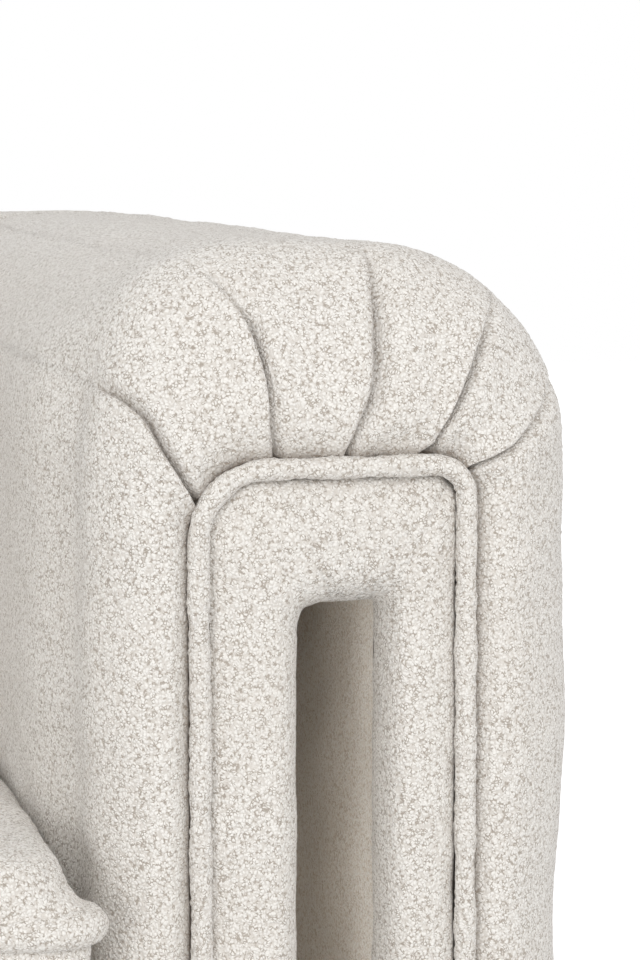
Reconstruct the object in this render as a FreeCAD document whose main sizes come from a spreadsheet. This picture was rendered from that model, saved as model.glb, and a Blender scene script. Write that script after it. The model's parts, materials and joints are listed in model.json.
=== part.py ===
import FreeCAD, Part
import math
import os
import re

import Sketcher
from FreeCAD import Placement, Rotation, Vector

# Tuxedo sofa: arms as high as the back, plump covers, a rolled arm front with a padded,
# welted panel round a deep upright slot, and two loose seat cushions.
# The arms and back fill the depth but for the cushions' overhang in front of the arms.
# Frame: +X to the viewer's right, -Y to the front, +Z up, origin on the floor in the middle.
# Left and right are the viewer's, looking at the front.

# Driving dimensions in millimetres
SIZES = {
    "overall_width": 2280,
    "overall_depth": 920,
    "overall_height": 750,
    "foot_height": 60,
    "arm_width": 268,
    "back_thickness": 268,
    "shoulder_radius": 104,
    "rear_corner_radius": 70,
    "roll_depth": 61,
    "roll_width": 61,
    "roll_rise": 86,
    "roll_corner_radius": 55,
    "panel_drop": 101,
    "panel_corner_radius": 34,
    "cloth": 3,
    "soft_gap": 0.3,
    "side_padding": 40,
    "top_padding": 60,
    "board": 18,
    "pad_thickness": 28,
    "pad_round": 14,
    "slot_width": 42,
    "slot_offset": 6,
    "slot_drop": 175,
    "slot_rise": 90,
    "slot_depth": 190,
    "slot_board": 12,
    "welt_diameter": 10,
    "welt_proud": 2,
    "base_setback": 45,
    "border_padding": 12,
    "rail_thickness": 30,
    "rail_height": 200,
    "block_leg": 90,
    "block_height": 60,
    "spring_wire": 4,
    "spring_pitch": 26,
    "spring_width": 46,
    "spring_spacing": 132,
    "clip_length": 22,
    "clip_wall": 1.5,
    "deck_padding": 12,
    "dust_cloth": 1.5,
    "rib_board": 18,
    "rib_spacing": 450,
    "back_board": 5,
    "webbing": 2.4,
    "webbing_width": 60,
    "webbing_spacing": 105,
    "cushion_height": 170,
    "cushion_crown": 24,
    "cushion_overhang": 20,
    "cushion_gap": 3,
    "cushion_corner_radius": 46,
    "cushion_drawn_in": 7,
    "cushion_edge_round": 34,
    "cushion_base_round": 22,
    "cushion_welt": 12,
    "foot_top_radius": 32,
    "foot_bottom_radius": 22,
    "foot_inset": 110,
    "glide_height": 5,
    "bolt_radius": 4,
    "bolt_clearance": 0.25,
    "thread_clearance": 0.05,
    "bolt_head_radius": 8,
    "bolt_head_height": 5,
    "bolt_overrun": 6,
    "foot_bolt_length": 40,
    "nut_radius": 9,
    "nut_height": 6,
    "arm_bolt_rise": 110,
    "arm_bolt_spacing": 150,
}

# Places and lengths worked out from the driving dimensions
WORKED_OUT = {
    "front": "cushion_overhang - overall_depth / 2",
    "rear": "overall_depth / 2",
    "arm_x": "(overall_width - arm_width) / 2",
    "inner_face": "overall_width / 2 - arm_width",
    "roll_front": "front + welt_proud",
    "padding_stack": "cloth + soft_gap + side_padding + soft_gap",
    "frame_half": "arm_width / 2 - padding_stack",
    "frame_top": "overall_height - cloth - top_padding - 2 * soft_gap",
    "frame_front": "roll_front + pad_thickness",
    "frame_rear": "rear - padding_stack",
    "frame_height": "frame_top - foot_height",
    "base_half": "arm_x - frame_half",
    "back_face": "rear - back_thickness",
    "back_frame_front": "back_face + padding_stack",
    "panel_half": "arm_width / 2 - roll_width",
    "panel_top": "overall_height - panel_drop",
    "slot_half": "slot_width / 2",
    "slot_x": "arm_x + slot_offset",
    "slot_top": "overall_height - slot_drop",
    "slot_bottom": "foot_height + slot_rise",
    "slot_height": "slot_top - slot_bottom",
    "lining_half": "slot_half + cloth",
    "box_half": "lining_half + soft_gap",
    "border_front": "roll_front + base_setback",
    "rail_front": "border_front + cloth + border_padding + 2 * soft_gap",
    "rail_top": "foot_height + rail_height",
    "rail_rear": "back_frame_front",
    "deck_low": "rail_top + spring_wire + clip_wall + 2 * soft_gap",
    "deck_top": "deck_low + deck_padding + soft_gap + cloth",
    "cushion_front": "front - cushion_overhang",
    "cushion_rear": "back_face - cushion_gap",
    "cushion_depth": "cushion_rear - cushion_front",
    "cushion_width": "inner_face - 1.5 * cushion_gap",
    "cushion_x": "cushion_gap / 2 + cushion_width / 2",
    "welt_off": "cushion_welt / 2 + 2 * soft_gap",
    "cushion_low": "deck_top + soft_gap",
    "cushion_high": "cushion_low + cushion_height",
    "bolt_hole": "bolt_radius + bolt_clearance",
}

SIDES = {"left": -1, "right": 1}
ACROSS = Vector(1, 0, 0)
UPWARDS = Vector(0, 0, 1)

doc = FreeCAD.newDocument("tuxedo_sofa")
sheet = doc.addObject("Spreadsheet::Sheet", "Sizes")
for row, (alias, number) in enumerate(SIZES.items(), start=1):
    sheet.set(f"A{row}", alias.replace("_", " "))
    sheet.set(f"B{row}", str(number))
    sheet.setAlias(f"B{row}", alias)
doc.recompute()

nodes = []


def expression(text):
    """Write a formula of size names out as an expression on the sheet's cells."""
    def cell(match):
        word = match.group(0)
        if word in WORKED_OUT:
            return f"({expression(WORKED_OUT[word])})"
        return f"Sizes.{word}" if word in SIZES else word
    return re.sub(r"[a-z_]+", cell, text)


def size(text):
    """The value of a formula of size names, in millimetres."""
    return float(sheet.evalExpression(expression(text)))


def bind(thing, **formulas):
    for prop, text in formulas.items():
        thing.setExpression(prop.replace("__", "."), expression(text))


def place(thing, x, y, z):
    bind(thing, Placement__Base__x=x, Placement__Base__y=y, Placement__Base__z=z)


def node(thing, label):
    thing.Label = label
    nodes.append(thing)
    return thing


# Rigid pieces: boards, drilled boards and sketched bodies

def box(name, corner, lengths):
    piece = doc.addObject("Part::Box", name)
    bind(piece, Length=lengths[0], Width=lengths[1], Height=lengths[2])
    place(piece, *corner)
    return piece


def rod(name, radius, length, centre, direction):
    piece = doc.addObject("Part::Cylinder", name)
    bind(piece, Radius=radius, Height=length)
    piece.Placement.Rotation = Rotation(UPWARDS, direction)
    place(piece, *centre)
    return piece


def drilled(name, blank, holes):
    """A board with holes through it: the board less a compound of rods."""
    tools = doc.addObject("Part::Compound", f"{name}_holes")
    tools.Links = holes
    piece = doc.addObject("Part::Cut", name)
    piece.Base = blank
    piece.Tool = tools
    return piece


def body_with_sketch(name, plane):
    body = doc.addObject("PartDesign::Body", name)
    doc.recompute()
    return body, sketch_on(body, f"{name}_sketch", plane)


def sketch_on(body, name, plane):
    sketch = body.newObject("Sketcher::SketchObject", name)
    origin_plane = next(item for item in body.Origin.OriginFeatures if item.Role == plane)
    sketch.AttachmentSupport = [(origin_plane, "")]
    sketch.MapMode = "FlatFace"
    return sketch


def outline(sketch, points):
    """Close a chain of lines through the points and return the number of the first line."""
    first = sketch.GeometryCount
    count = len(points)
    for start, end in zip(points, points[1:] + points[:1]):
        sketch.addGeometry(Part.LineSegment(Vector(*start, 0), Vector(*end, 0)), False)
    for index in range(count):
        sketch.addConstraint(Sketcher.Constraint(
            "Coincident", first + index, 2, first + (index + 1) % count, 1))
    return first


def measured(sketch, name, kind, first, second, text):
    """A named distance between two sketch points, bound to a formula."""
    value = size(text)
    number = sketch.addConstraint(Sketcher.Constraint(kind, *first, *second, value))
    sketch.renameConstraint(number, name)
    sketch.setExpression(f"Constraints.{name}", expression(text))


def rectangle(sketch, tag, width, height, rise=None, left=None):
    """A rectangle standing on the level axis or at a rise.

    The upright axis halves it, or lies at a given distance from its left side.
    """
    start = size(left) if left else size(width) / 2
    end = size(width) - start
    low = size(rise) if rise else 0.0
    high = low + size(height)
    first = outline(sketch, [(-start, low), (end, low), (end, high), (-start, high)])
    for number, kind in ((1, "Vertical"), (2, "Horizontal"), (3, "Vertical")):
        sketch.addConstraint(Sketcher.Constraint(kind, first + number))
    if left:
        sketch.addConstraint(Sketcher.Constraint("Horizontal", first))
        measured(sketch, f"{tag}_left", "DistanceX", (first, 1), (-1, 1), left)
    else:
        sketch.addConstraint(Sketcher.Constraint("Symmetric", first, 1, first, 2, -2))
    measured(sketch, f"{tag}_width", "DistanceX", (first, 1), (first, 2), width)
    measured(sketch, f"{tag}_height", "DistanceY", (first + 1, 1), (first + 1, 2), height)
    if rise:
        measured(sketch, f"{tag}_rise", "DistanceY", (-1, 1), (first, 1), rise)
    else:
        sketch.addConstraint(Sketcher.Constraint("PointOnObject", first, 1, -1))


def padded_back(body, sketch, length):
    """Thicken a sketch on the XZ plane towards the rear."""
    pad = body.newObject("PartDesign::Pad", f"{body.Name}_pad")
    pad.Profile = sketch
    pad.Reversed = True
    bind(pad, Length=length)
    return pad


def pocketed(body, sketch, length):
    """Sink a sketch on the XZ plane towards the rear."""
    pocket = body.newObject("PartDesign::Pocket", f"{body.Name}_pocket")
    pocket.Profile = sketch
    bind(pocket, Length=length)
    return pocket


def turned(name, points, tag_sizes):
    """A body turned about its upright axis from a closed half outline."""
    body, sketch = body_with_sketch(name, "XZ_Plane")
    first = outline(sketch, points)
    for number, kind in tag_sizes["lines"]:
        sketch.addConstraint(Sketcher.Constraint(kind, first + number))
    sketch.addConstraint(Sketcher.Constraint("Coincident", first, 1, -1, 1))
    for tag, (kind, point, text) in tag_sizes["sizes"].items():
        measured(sketch, tag, kind, (-1, 1), (first + point, 1), text)
    turn = body.newObject("PartDesign::Revolution", f"{name}_turn")
    turn.Profile = sketch
    turn.ReferenceAxis = (sketch, ["V_Axis"])
    turn.Angle = 360
    return body


# Shapes made in code: soft forms, springs and groups of like pieces

def feature(name, shape):
    piece = doc.addObject("Part::Feature", name)
    piece.Shape = shape
    return node(piece, name)


def block(low, high):
    """A box shape between two corners."""
    spans = [b - a for a, b in zip(low, high)]
    return Part.makeBox(*spans, Vector(*low))


def prism(points, low, high, axis):
    """A polygon pushed along Y or Z from one level to another."""
    if axis == "Y":
        corners = [Vector(a, low, b) for a, b in points]
        push = Vector(0, high - low, 0)
    else:
        corners = [Vector(a, b, low) for a, b in points]
        push = Vector(0, 0, high - low)
    return Part.Face(Part.makePolygon(corners + corners[:1])).extrude(push)


def rounded_wire(corners):
    """A closed wire through corners given as (point, radius), radius 0 for a sharp one."""
    tangents = []
    count = len(corners)
    for index, (point, radius) in enumerate(corners):
        before = (corners[index - 1][0] - point).normalize()
        after = (corners[(index + 1) % count][0] - point).normalize()
        half_turn = before.getAngle(after) / 2
        reach = radius / math.tan(half_turn) if radius else 0
        middle = point
        if radius:
            to_centre = (before + after).normalize() * (radius / math.sin(half_turn))
            middle = point + to_centre - (before + after).normalize() * radius
        tangents.append((point + before * reach, middle, point + after * reach))
    edges = []
    for index, (enter, middle, leave) in enumerate(tangents):
        following = tangents[(index + 1) % count][0]
        if (enter - leave).Length > 1e-6:
            edges.append(Part.Arc(enter, middle, leave).toShape())
        edges.append(Part.LineSegment(leave, following).toShape())
    return Part.Wire(edges)


def hood_wire(half, low, top, radius, at):
    """An upright rectangle with a rounded top; at turns (across, up) into a point."""
    corners = [
        (at(-half, low), 0),
        (at(-half, top), radius),
        (at(half, top), radius),
        (at(half, low), 0),
    ]
    return rounded_wire(corners)


ROLL_STEPS = 7


def arm_form(side, inset, low):
    """The arm's outer form, moved inwards by an inset: a rolled front and a straight run."""
    centre = side * size("arm_x")
    front = size("roll_front")
    rear = size("rear") - inset
    top = size("overall_height")
    full_radius = size("shoulder_radius")
    front_radius = size("roll_corner_radius")
    sections = []
    for step in range(ROLL_STEPS):
        turn = math.pi / 2 * step / (ROLL_STEPS - 1)
        swell = math.sin(turn)
        half = size("panel_half") + size("roll_width") * swell - inset * swell
        level = top - size("roll_rise") * (1 - swell) - inset * swell
        radius = front_radius + (full_radius - front_radius) * swell - inset * swell
        place_y = front + size("roll_depth") * (1 - math.cos(turn)) + inset * math.cos(turn)
        section = hood_wire(half, low, level, radius,
                            lambda a, b, y=place_y: Vector(centre + a, y, b))
        sections.append(section)
    roll = Part.makeLoft(sections, True, False)
    run = rear - size("roll_front + roll_depth")
    straight = Part.Face(sections[-1]).extrude(Vector(0, run, 0)).common(plan_form(inset, low))
    return roll.fuse(straight)


def back_form(inset, low):
    """The back's outer form, moved inwards by an inset, over the whole width."""
    middle = size("rear - back_thickness / 2")
    half = size("back_thickness / 2") - inset
    width = size("overall_width") - 2 * inset
    section = hood_wire(half, low, size("overall_height") - inset,
                        size("shoulder_radius") - inset,
                        lambda a, b: Vector(-width / 2, middle + a, b))
    return Part.Face(section).extrude(Vector(width, 0, 0)).common(plan_form(inset, low))


def plan_form(inset, low):
    """The sofa's outline from above, with rounded rear corners, as a tall block."""
    half = size("overall_width / 2") - inset
    front = size("front") - 1
    rear = size("rear") - inset
    radius = size("rear_corner_radius") - inset
    corners = [
        (Vector(-half, front, low), 0),
        (Vector(half, front, low), 0),
        (Vector(half, rear, low), radius),
        (Vector(-half, rear, low), radius),
    ]
    return Part.Face(rounded_wire(corners)).extrude(Vector(0, 0, size("overall_height") + 1 - low))


BEYOND = 60


def mitre_points():
    """Two points on the right corner's mitre line, seen from above."""
    inner = (size("inner_face"), size("back_face"))
    outer = (size("overall_width / 2"), size("rear"))
    slope = (outer[1] - inner[1]) / (outer[0] - inner[0])
    return inner, (outer[0] + BEYOND, outer[1] + BEYOND * slope)


def arm_region(side):
    """All that lies on the arm's side of its mitre."""
    inner, outer = mitre_points()
    front = size("front") - BEYOND
    points = [(inner[0] - BEYOND, front), (outer[0], front), outer, inner,
              (inner[0] - BEYOND, inner[1])]
    turned_points = [(side * x, y) for x, y in points]
    return prism(turned_points, -BEYOND, size("overall_height") + BEYOND, "Z")


def back_region():
    """All that lies on the back's side of both mitres."""
    inner, outer = mitre_points()
    rear = max(size("rear") + BEYOND, outer[1])
    right = [inner, outer, (outer[0], rear + 1)]
    left = [(-x, y) for x, y in reversed(right)]
    return prism(left + right, -BEYOND, size("overall_height") + BEYOND, "Z")


def frame_space():
    """The room that the wooden frame takes inside the padding of arms and back."""
    gap = size("soft_gap")
    low = size("foot_height") - BEYOND
    top = size("frame_top") + gap
    inner = size("base_half") - gap
    outer = size("arm_x + frame_half") + gap
    rear = size("frame_rear") + gap
    front = size("frame_front") - gap
    back = block((-outer, size("back_frame_front") - gap, low), (outer, rear, top))
    arms = [block((min(s * inner, s * outer), front, low), (max(s * inner, s * outer), rear, top))
            for s in SIDES.values()]
    return back.fuse(arms)


def base_space():
    """The room that the seat base and its deck take below the arms' and back's padding."""
    gap = size("soft_gap")
    half = size("base_half")
    return block((-half, size("border_front") - gap, -BEYOND),
                 (half, size("back_frame_front"), size("deck_top") + gap))


def panel_prism(side, inset, low, front, rear):
    """The padded front panel's outline, moved inwards, pushed from front to rear."""
    centre = side * size("arm_x")
    radius = max(size("panel_corner_radius") - inset, size("soft_gap"))
    wire = hood_wire(size("panel_half") - inset, low, size("panel_top") - inset, radius,
                     lambda a, b: Vector(centre + a, front, b))
    return Part.Face(wire).extrude(Vector(0, rear - front, 0))


def arm_softs(name, side):
    """Padding and cover of one arm, both open where the front panel sits."""
    bottom = size("foot_height")
    cloth = size("cloth")
    gap = size("soft_gap")
    region = arm_region(side)
    opening = panel_prism(side, 0, bottom - BEYOND, size("front") - BEYOND, size("frame_front"))
    skin = arm_form(side, 0, bottom).cut(arm_form(side, cloth, bottom - BEYOND))
    cover = skin.common(region).cut([opening, base_space()])
    feature(f"{name}_arm_cover", cover.Solids[0])
    core = arm_form(side, cloth + gap, bottom).common(region)
    padding = core.cut([opening, frame_space(), base_space()])
    feature(f"{name}_arm_padding", padding.Solids[0])


def back_softs():
    """Padding and cover of the back, mitred to both arms."""
    bottom = size("foot_height")
    cloth = size("cloth")
    gap = size("soft_gap")
    region = back_region()
    skin = back_form(0, bottom).cut(back_form(cloth, bottom - BEYOND))
    feature("back_cover", skin.common(region).cut(base_space()).Solids[0])
    core = back_form(cloth + gap, bottom).common(region)
    feature("back_padding", core.cut(frame_space()).cut(base_space()).Solids[0])


def panel_pads(name, side):
    """Four padded strips with mitred ends round the slot, rounded over at their edges."""
    centre = side * size("arm_x")
    front = size("roll_front")
    rear = size("frame_front - soft_gap")
    low = size("foot_height")
    edge = size("welt_diameter + 2 * soft_gap")
    outer_half = size("panel_half") - edge
    top = size("panel_top") - edge
    slot_left = side * size("slot_x") - size("slot_half")
    slot_right = slot_left + size("slot_width")
    slot_low = size("slot_bottom")
    slot_top = size("slot_top")
    narrowest = outer_half - size("slot_half") - abs(size("slot_offset"))
    ring = panel_prism(side, edge, low, front, rear)
    slot = block((slot_left, front - 1, slot_low), (slot_right, rear + 1, slot_top))
    ring = ring.cut(slot)
    over = [item for item in ring.Edges
            if abs(item.BoundBox.YMax - front) < 1e-4
            and item.BoundBox.ZMin > low + 1e-3]
    limit = min(size("pad_thickness"), narrowest / 2) - 1
    ring = ring.makeFillet(min(size("pad_round"), limit), over)
    outer = [(centre - outer_half, low), (centre + outer_half, low),
             (centre + outer_half, top), (centre - outer_half, top)]
    inner = [(slot_left, slot_low), (slot_right, slot_low), (slot_right, slot_top), (slot_left, slot_top)]
    strips = []
    for index in range(4):
        following = (index + 1) % 4
        wedge = [outer[index], outer[following], inner[following], inner[index]]
        strips += ring.common(prism(wedge, front - 1, rear + 1, "Y")).Solids
    feature(f"{name}_panel_pads", Part.makeCompound(strips))


def welt(name, side):
    """The round welt between the rolled front and the padded strips, up, over and down."""
    centre = side * size("arm_x")
    radius = size("welt_diameter") / 2
    inset = radius + size("soft_gap")
    half = size("panel_half") - inset
    top = size("panel_top") - inset
    bend = max(size("panel_corner_radius") - inset, radius * 1.2)
    low = size("foot_height")
    y = size("front") + radius
    start = Vector(centre - half, y, low)
    end = Vector(centre + half, y, low)
    shoulder = bend * (1 - math.sqrt(0.5))
    left = [Vector(centre - half, y, top - bend),
            Vector(centre - half + shoulder, y, top - shoulder),
            Vector(centre - half + bend, y, top)]
    right = [Vector(centre + half - bend, y, top),
             Vector(centre + half - shoulder, y, top - shoulder),
             Vector(centre + half, y, top - bend)]
    edges = [
        Part.LineSegment(start, left[0]).toShape(),
        Part.Arc(*left).toShape(),
        Part.LineSegment(left[-1], right[0]).toShape(),
        Part.Arc(*right).toShape(),
        Part.LineSegment(right[-1], end).toShape(),
    ]
    section = Part.Wire(Part.Circle(start, Vector(0, 0, 1), radius).toShape())
    feature(f"{name}_panel_welt", Part.Wire(edges).makePipeShell([section], True, False))


CORNER_GROWTH = 0.3
CORNER_LIMIT = 0.6
LOWER_TURN = 90
UPPER_TURN = 75
DOME_REACH = 0.72
UPPER_WELT_TURN = 40
LOWER_WELT_TURN = 30


def cushion_outline(centre, half_x, half_y, z, inset, radius):
    """A cushion's outline from above: round corners and, between them, sides drawn in.

    A side is a hollow arc that runs smoothly into the corners' arcs.
    """
    pull = size("cushion_drawn_in")
    cx = half_x - inset - radius
    cy = half_y - inset - radius
    reach_x = (cy ** 2 + pull ** 2) / (2 * pull)
    reach_y = (cx ** 2 + pull ** 2) / (2 * pull)
    on_side = (cx + radius * (reach_x - pull) / reach_x, cy - radius * cy / reach_x)
    on_end = (cx - radius * cx / reach_y, cy + radius * (reach_y - pull) / reach_y)
    diagonal = (cx + radius * math.sqrt(0.5), cy + radius * math.sqrt(0.5))

    def at(point, sx, sy):
        return Vector(centre[0] + sx * point[0], centre[1] + sy * point[1], z)

    hollow_x = (cx + radius - pull, 0)
    hollow_y = (0, cy + radius - pull)
    edges = []
    for sx, sy in ((1, 1), (-1, 1), (-1, -1), (1, -1)):
        ends = (on_side, on_end) if sx == sy else (on_end, on_side)
        first, last = at(ends[0], sx, sy), at(ends[1], sx, sy)
        edges.append(Part.Arc(first, at(diagonal, sx, sy), last).toShape())
        if sx == sy:
            edges.append(Part.Arc(last, at(hollow_y, sx, sy), at(on_end, -sx, sy)).toShape())
        else:
            edges.append(Part.Arc(last, at(hollow_x, sx, sy), at(on_side, sx, -sy)).toShape())
    return Part.Wire(edges)


def cushion_halves():
    """Half the width and depth of a cushion's cover, whose lower welt stands out to the full size."""
    lower = size("cushion_base_round")
    reach = (lower + size("welt_off")) * math.cos(math.radians(LOWER_WELT_TURN)) - lower
    stand = reach + size("cushion_welt / 2")
    return size("cushion_width / 2") - stand, size("cushion_depth / 2") - stand


def cushion_form(centre, inset):
    """A seat cushion: flat below, round edges, upright sides and a domed top."""
    half_x, half_y = cushion_halves()
    smaller = min(half_x, half_y)
    low = size("cushion_low") + inset
    high = size("cushion_high") - inset
    edge = size("cushion_edge_round")
    base = size("cushion_base_round")
    crown = size("cushion_crown")

    def loft(levels, ruled=False):
        """A solid through outlines at the given (height, shrink) levels."""
        wires = []
        for z, shrink in levels:
            grown = size("cushion_corner_radius") + shrink * CORNER_GROWTH
            radius = min(grown, (smaller - shrink) * CORNER_LIMIT) - inset
            wires.append(cushion_outline(centre, half_x, half_y, z, inset + shrink, radius))
        return Part.makeLoft(wires, True, ruled)

    below = []
    above = []
    for step in range(4):
        turn = math.radians(LOWER_TURN * step / 3)
        below.append((low + base * (1 - math.cos(turn)), base * (1 - math.sin(turn))))
        turn = math.radians(UPPER_TURN * step / 3)
        above.append((high - edge + edge * math.sin(turn), edge * (1 - math.cos(turn))))
    rim, start = above[-1]
    dome = []
    for step in range(5):
        shrink = start + (smaller * DOME_REACH - start) * step / 4
        rise = 1 - ((smaller - shrink) / (smaller - start)) ** 2
        dome.append((rim + crown * rise, shrink))
    stack = [loft([below[-1], above[0]], ruled=True), loft(above), loft(dome)]
    return loft(below).fuse(stack).Solids[0]


def cushion_welt_ring(centre, z, shrink):
    """One round welt round the cushion, its middle at a height and a shrink of the outline."""
    half_x, half_y = cushion_halves()
    path = cushion_outline(centre, half_x, half_y, z, shrink, size("cushion_corner_radius") - shrink)
    start = path.Edges[0].valueAt(path.Edges[0].FirstParameter)
    along = path.Edges[0].tangentAt(path.Edges[0].FirstParameter)
    section = Part.Wire(Part.Circle(start, along, size("cushion_welt / 2")).toShape())
    return path.makePipeShell([section], True, False)


def cushion_welts(centre):
    """The welts that lie on the cushion's upper and lower rounded edges."""
    upper = size("cushion_edge_round")
    lower = size("cushion_base_round")
    off = size("welt_off")
    rise = math.radians(UPPER_WELT_TURN)
    fall = math.radians(LOWER_WELT_TURN)
    high = size("cushion_high") - upper + (upper + off) * math.sin(rise)
    low = size("cushion_low") + lower - (lower + off) * math.sin(fall)
    return [
        cushion_welt_ring(centre, high, upper - (upper + off) * math.cos(rise)),
        cushion_welt_ring(centre, low, lower - (lower + off) * math.cos(fall)),
    ]


def cushion(name, side):
    """Foam core, cover and the welts of one loose seat cushion."""
    centre = (side * size("cushion_x"), size("(cushion_front + cushion_rear) / 2"))
    cloth = size("cloth")
    outside = cushion_form(centre, 0).OuterShell
    inside = cushion_form(centre, cloth).OuterShell
    feature(f"{name}_cushion_cover", Part.makeSolid(Part.makeCompound([outside, inside.reversed()])))
    feature(f"{name}_cushion_core", cushion_form(centre, cloth + 2 * size("soft_gap")))
    feature(f"{name}_cushion_welts", Part.makeCompound(cushion_welts(centre)))


def evenly(span, spacing):
    """Places evenly spread and centred on nought, at most a spacing apart, inside a span."""
    count = max(int(span // spacing), 1)
    first = -(count - 1) * spacing / 2
    return [first + spacing * index for index in range(count)]


def spring_lines():
    """Where the springs lie across the seat, clear of the centre rail."""
    half = size("base_half - rail_thickness")
    bay = half - size("rail_thickness / 2")
    middle = size("rail_thickness / 2") + bay / 2
    return [side * middle + offset for side in (-1, 1) for offset in evenly(bay, size("spring_spacing"))]


def spring_shape():
    """One flat spring of wavy wire from the front rail to the back rail, at x = 0."""
    wire = size("spring_wire")
    bend = size("spring_pitch") / 4
    half = size("spring_width / 2") - wire / 2 - bend
    start = size("rail_front + clip_length / 2")
    end = size("rail_rear - clip_length / 2")
    z = size("rail_top") + wire / 2
    waves = int((end - start) // (4 * bend))
    edges = [Part.LineSegment(Vector(-half, start, z), Vector(half, start, z)).toShape()]
    y = start
    side = 1
    runs = 2 * waves
    step = (end - start) / runs
    for index in range(runs):
        enter = Vector(side * half, y, z)
        leave = Vector(side * half, y + step, z)
        middle = Vector(side * (half + step / 2), y + step / 2, z)
        edges.append(Part.Arc(enter, middle, leave).toShape())
        y += step
        edges.append(Part.LineSegment(leave, Vector(-side * half, y, z)).toShape())
        side = -side
    section = Part.Wire(Part.Circle(Vector(-half, start, z), Vector(1, 0, 0), wire / 2).toShape())
    return Part.Wire(edges).makePipeShell([section], True, False)


def springs_and_clips():
    """The seat's wavy springs with a bent steel clip at each end of each one."""
    one = spring_shape()
    lines = spring_lines()
    feature("seat_springs", Part.makeCompound([one.translated(Vector(x, 0, 0)) for x in lines]))
    wall = size("clip_wall")
    wire = size("spring_wire")
    gap = size("soft_gap")
    length = size("clip_length")
    low = size("rail_top")
    half = size("spring_width / 4")
    clips = []
    for end in (size("rail_front"), size("rail_rear - clip_length")):
        body = block((-half, end, low), (half, end + length, low + wire + gap + wall))
        channel = block((-half - 1, end + length / 2 - wire / 2 - gap, low - 1),
                        (half + 1, end + length / 2 + wire / 2 + gap, low + wire + gap))
        clip = body.cut(channel)
        clips += [clip.translated(Vector(x, 0, 0)) for x in lines]
    feature("spring_clips", Part.makeCompound(clips))


def corner_blocks():
    """Glued triangular blocks in the seat base's four corners."""
    leg = size("block_leg")
    low = size("foot_height")
    high = low + size("block_height")
    half = size("base_half - rail_thickness")
    front = size("rail_front + rail_thickness")
    rear = size("rail_rear - rail_thickness")
    blocks = []
    for side in SIDES.values():
        for y, into in ((front, 1), (rear, -1)):
            points = [(side * half, y), (side * (half - leg), y), (side * half, y + into * leg)]
            blocks.append(prism(points, low, high, "Z"))
    feature("corner_blocks", Part.makeCompound(blocks))


# Where fasteners and feet go

def arm_bolt_places():
    """Bolts that hold the arms to the seat base, as (y, z) formulas."""
    rows = ("- arm_bolt_spacing / 2", "+ arm_bolt_spacing / 2")
    middle = "(rail_front + rail_rear) / 2"
    height = "foot_height + arm_bolt_rise"
    return [(f"{middle} {row}", height) for row in rows]


def foot_places():
    """Feet under the arms and under the seat base's centre rail, as (x, y) formulas."""
    places = {}
    for name, side in SIDES.items():
        places[f"front_{name}_foot"] = (f"{side} * arm_x", "front + foot_inset")
        places[f"rear_{name}_foot"] = (f"{side} * arm_x", "rear - foot_inset")
    places["front_centre_foot"] = ("0", "rail_front + rail_thickness + foot_top_radius")
    places["rear_centre_foot"] = ("0", "rail_rear - rail_thickness - foot_top_radius")
    return places


def foot_bolt_holes(name, feet):
    """Rods that cut the clearance holes of the named feet's bolts, a little deeper than each bolt."""
    holes = []
    for foot in feet:
        x, y = foot_places()[foot]
        holes.append(rod(f"{name}_{foot}_hole", "bolt_hole", "foot_bolt_length / 2 + 2 * bolt_clearance + 1",
                         (x, y, "foot_height - 1"), UPWARDS))
    return holes


def arm_frame(name, side):
    """The boards of one arm: front, rear, inner, outer, top and bottom."""
    run = "frame_rear - frame_front - board"
    start = "frame_front + board"
    centre = f"{side} * arm_x"
    low_x = f"{centre} - frame_half"
    body, sketch = body_with_sketch(f"{name}_arm_front_board", "XZ_Plane")
    rectangle(sketch, "board", "2 * frame_half", "frame_height", left=f"frame_half + {side} * slot_offset")
    rectangle(sketch, "slot", "2 * box_half", "slot_height + 2 * cloth + 2 * soft_gap",
              "slot_rise - cloth - soft_gap")
    padded_back(body, sketch, "board")
    place(body, f"{side} * slot_x", "frame_front", "foot_height")
    node(body, f"{name}_arm_front_board")
    top = box(f"{name}_arm_top_board", (low_x, start, "frame_top - board"), ("2 * frame_half", run, "board"))
    node(top, f"{name}_arm_top_board")
    floor = box(f"{name}_bottom_blank", (low_x, start, "foot_height"), ("2 * frame_half", run, "board"))
    feet = [f"front_{name}_foot", f"rear_{name}_foot"]
    node(drilled(f"{name}_arm_bottom_board", floor, foot_bolt_holes(f"{name}_arm", feet)),
         f"{name}_arm_bottom_board")
    rear = box(f"{name}_arm_rear_board", (low_x, "frame_rear - board", "foot_height + board"),
               ("2 * frame_half", "board", "frame_height - 2 * board"))
    node(rear, f"{name}_arm_rear_board")
    wall = ("board", f"{run} - board", "frame_height - 2 * board")
    faces = {"inner": f"{centre} - {side} * frame_half", "outer": f"{centre} + {side} * frame_half"}
    for role, face in faces.items():
        grows = side if role == "inner" else -side
        corner = face if grows > 0 else f"{face} - board"
        blank = box(f"{name}_arm_{role}_blank", (corner, start, "foot_height + board"), wall)
        if role == "outer":
            node(blank, f"{name}_arm_outer_panel")
            continue
        low = f"{corner} - 1"
        holes = [rod(f"{name}_arm_inner_hole_{number}", "bolt_hole", "board + 2", (low, y, z), ACROSS)
                 for number, (y, z) in enumerate(arm_bolt_places())]
        node(drilled(f"{name}_arm_inner_panel", blank, holes), f"{name}_arm_inner_panel")


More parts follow.
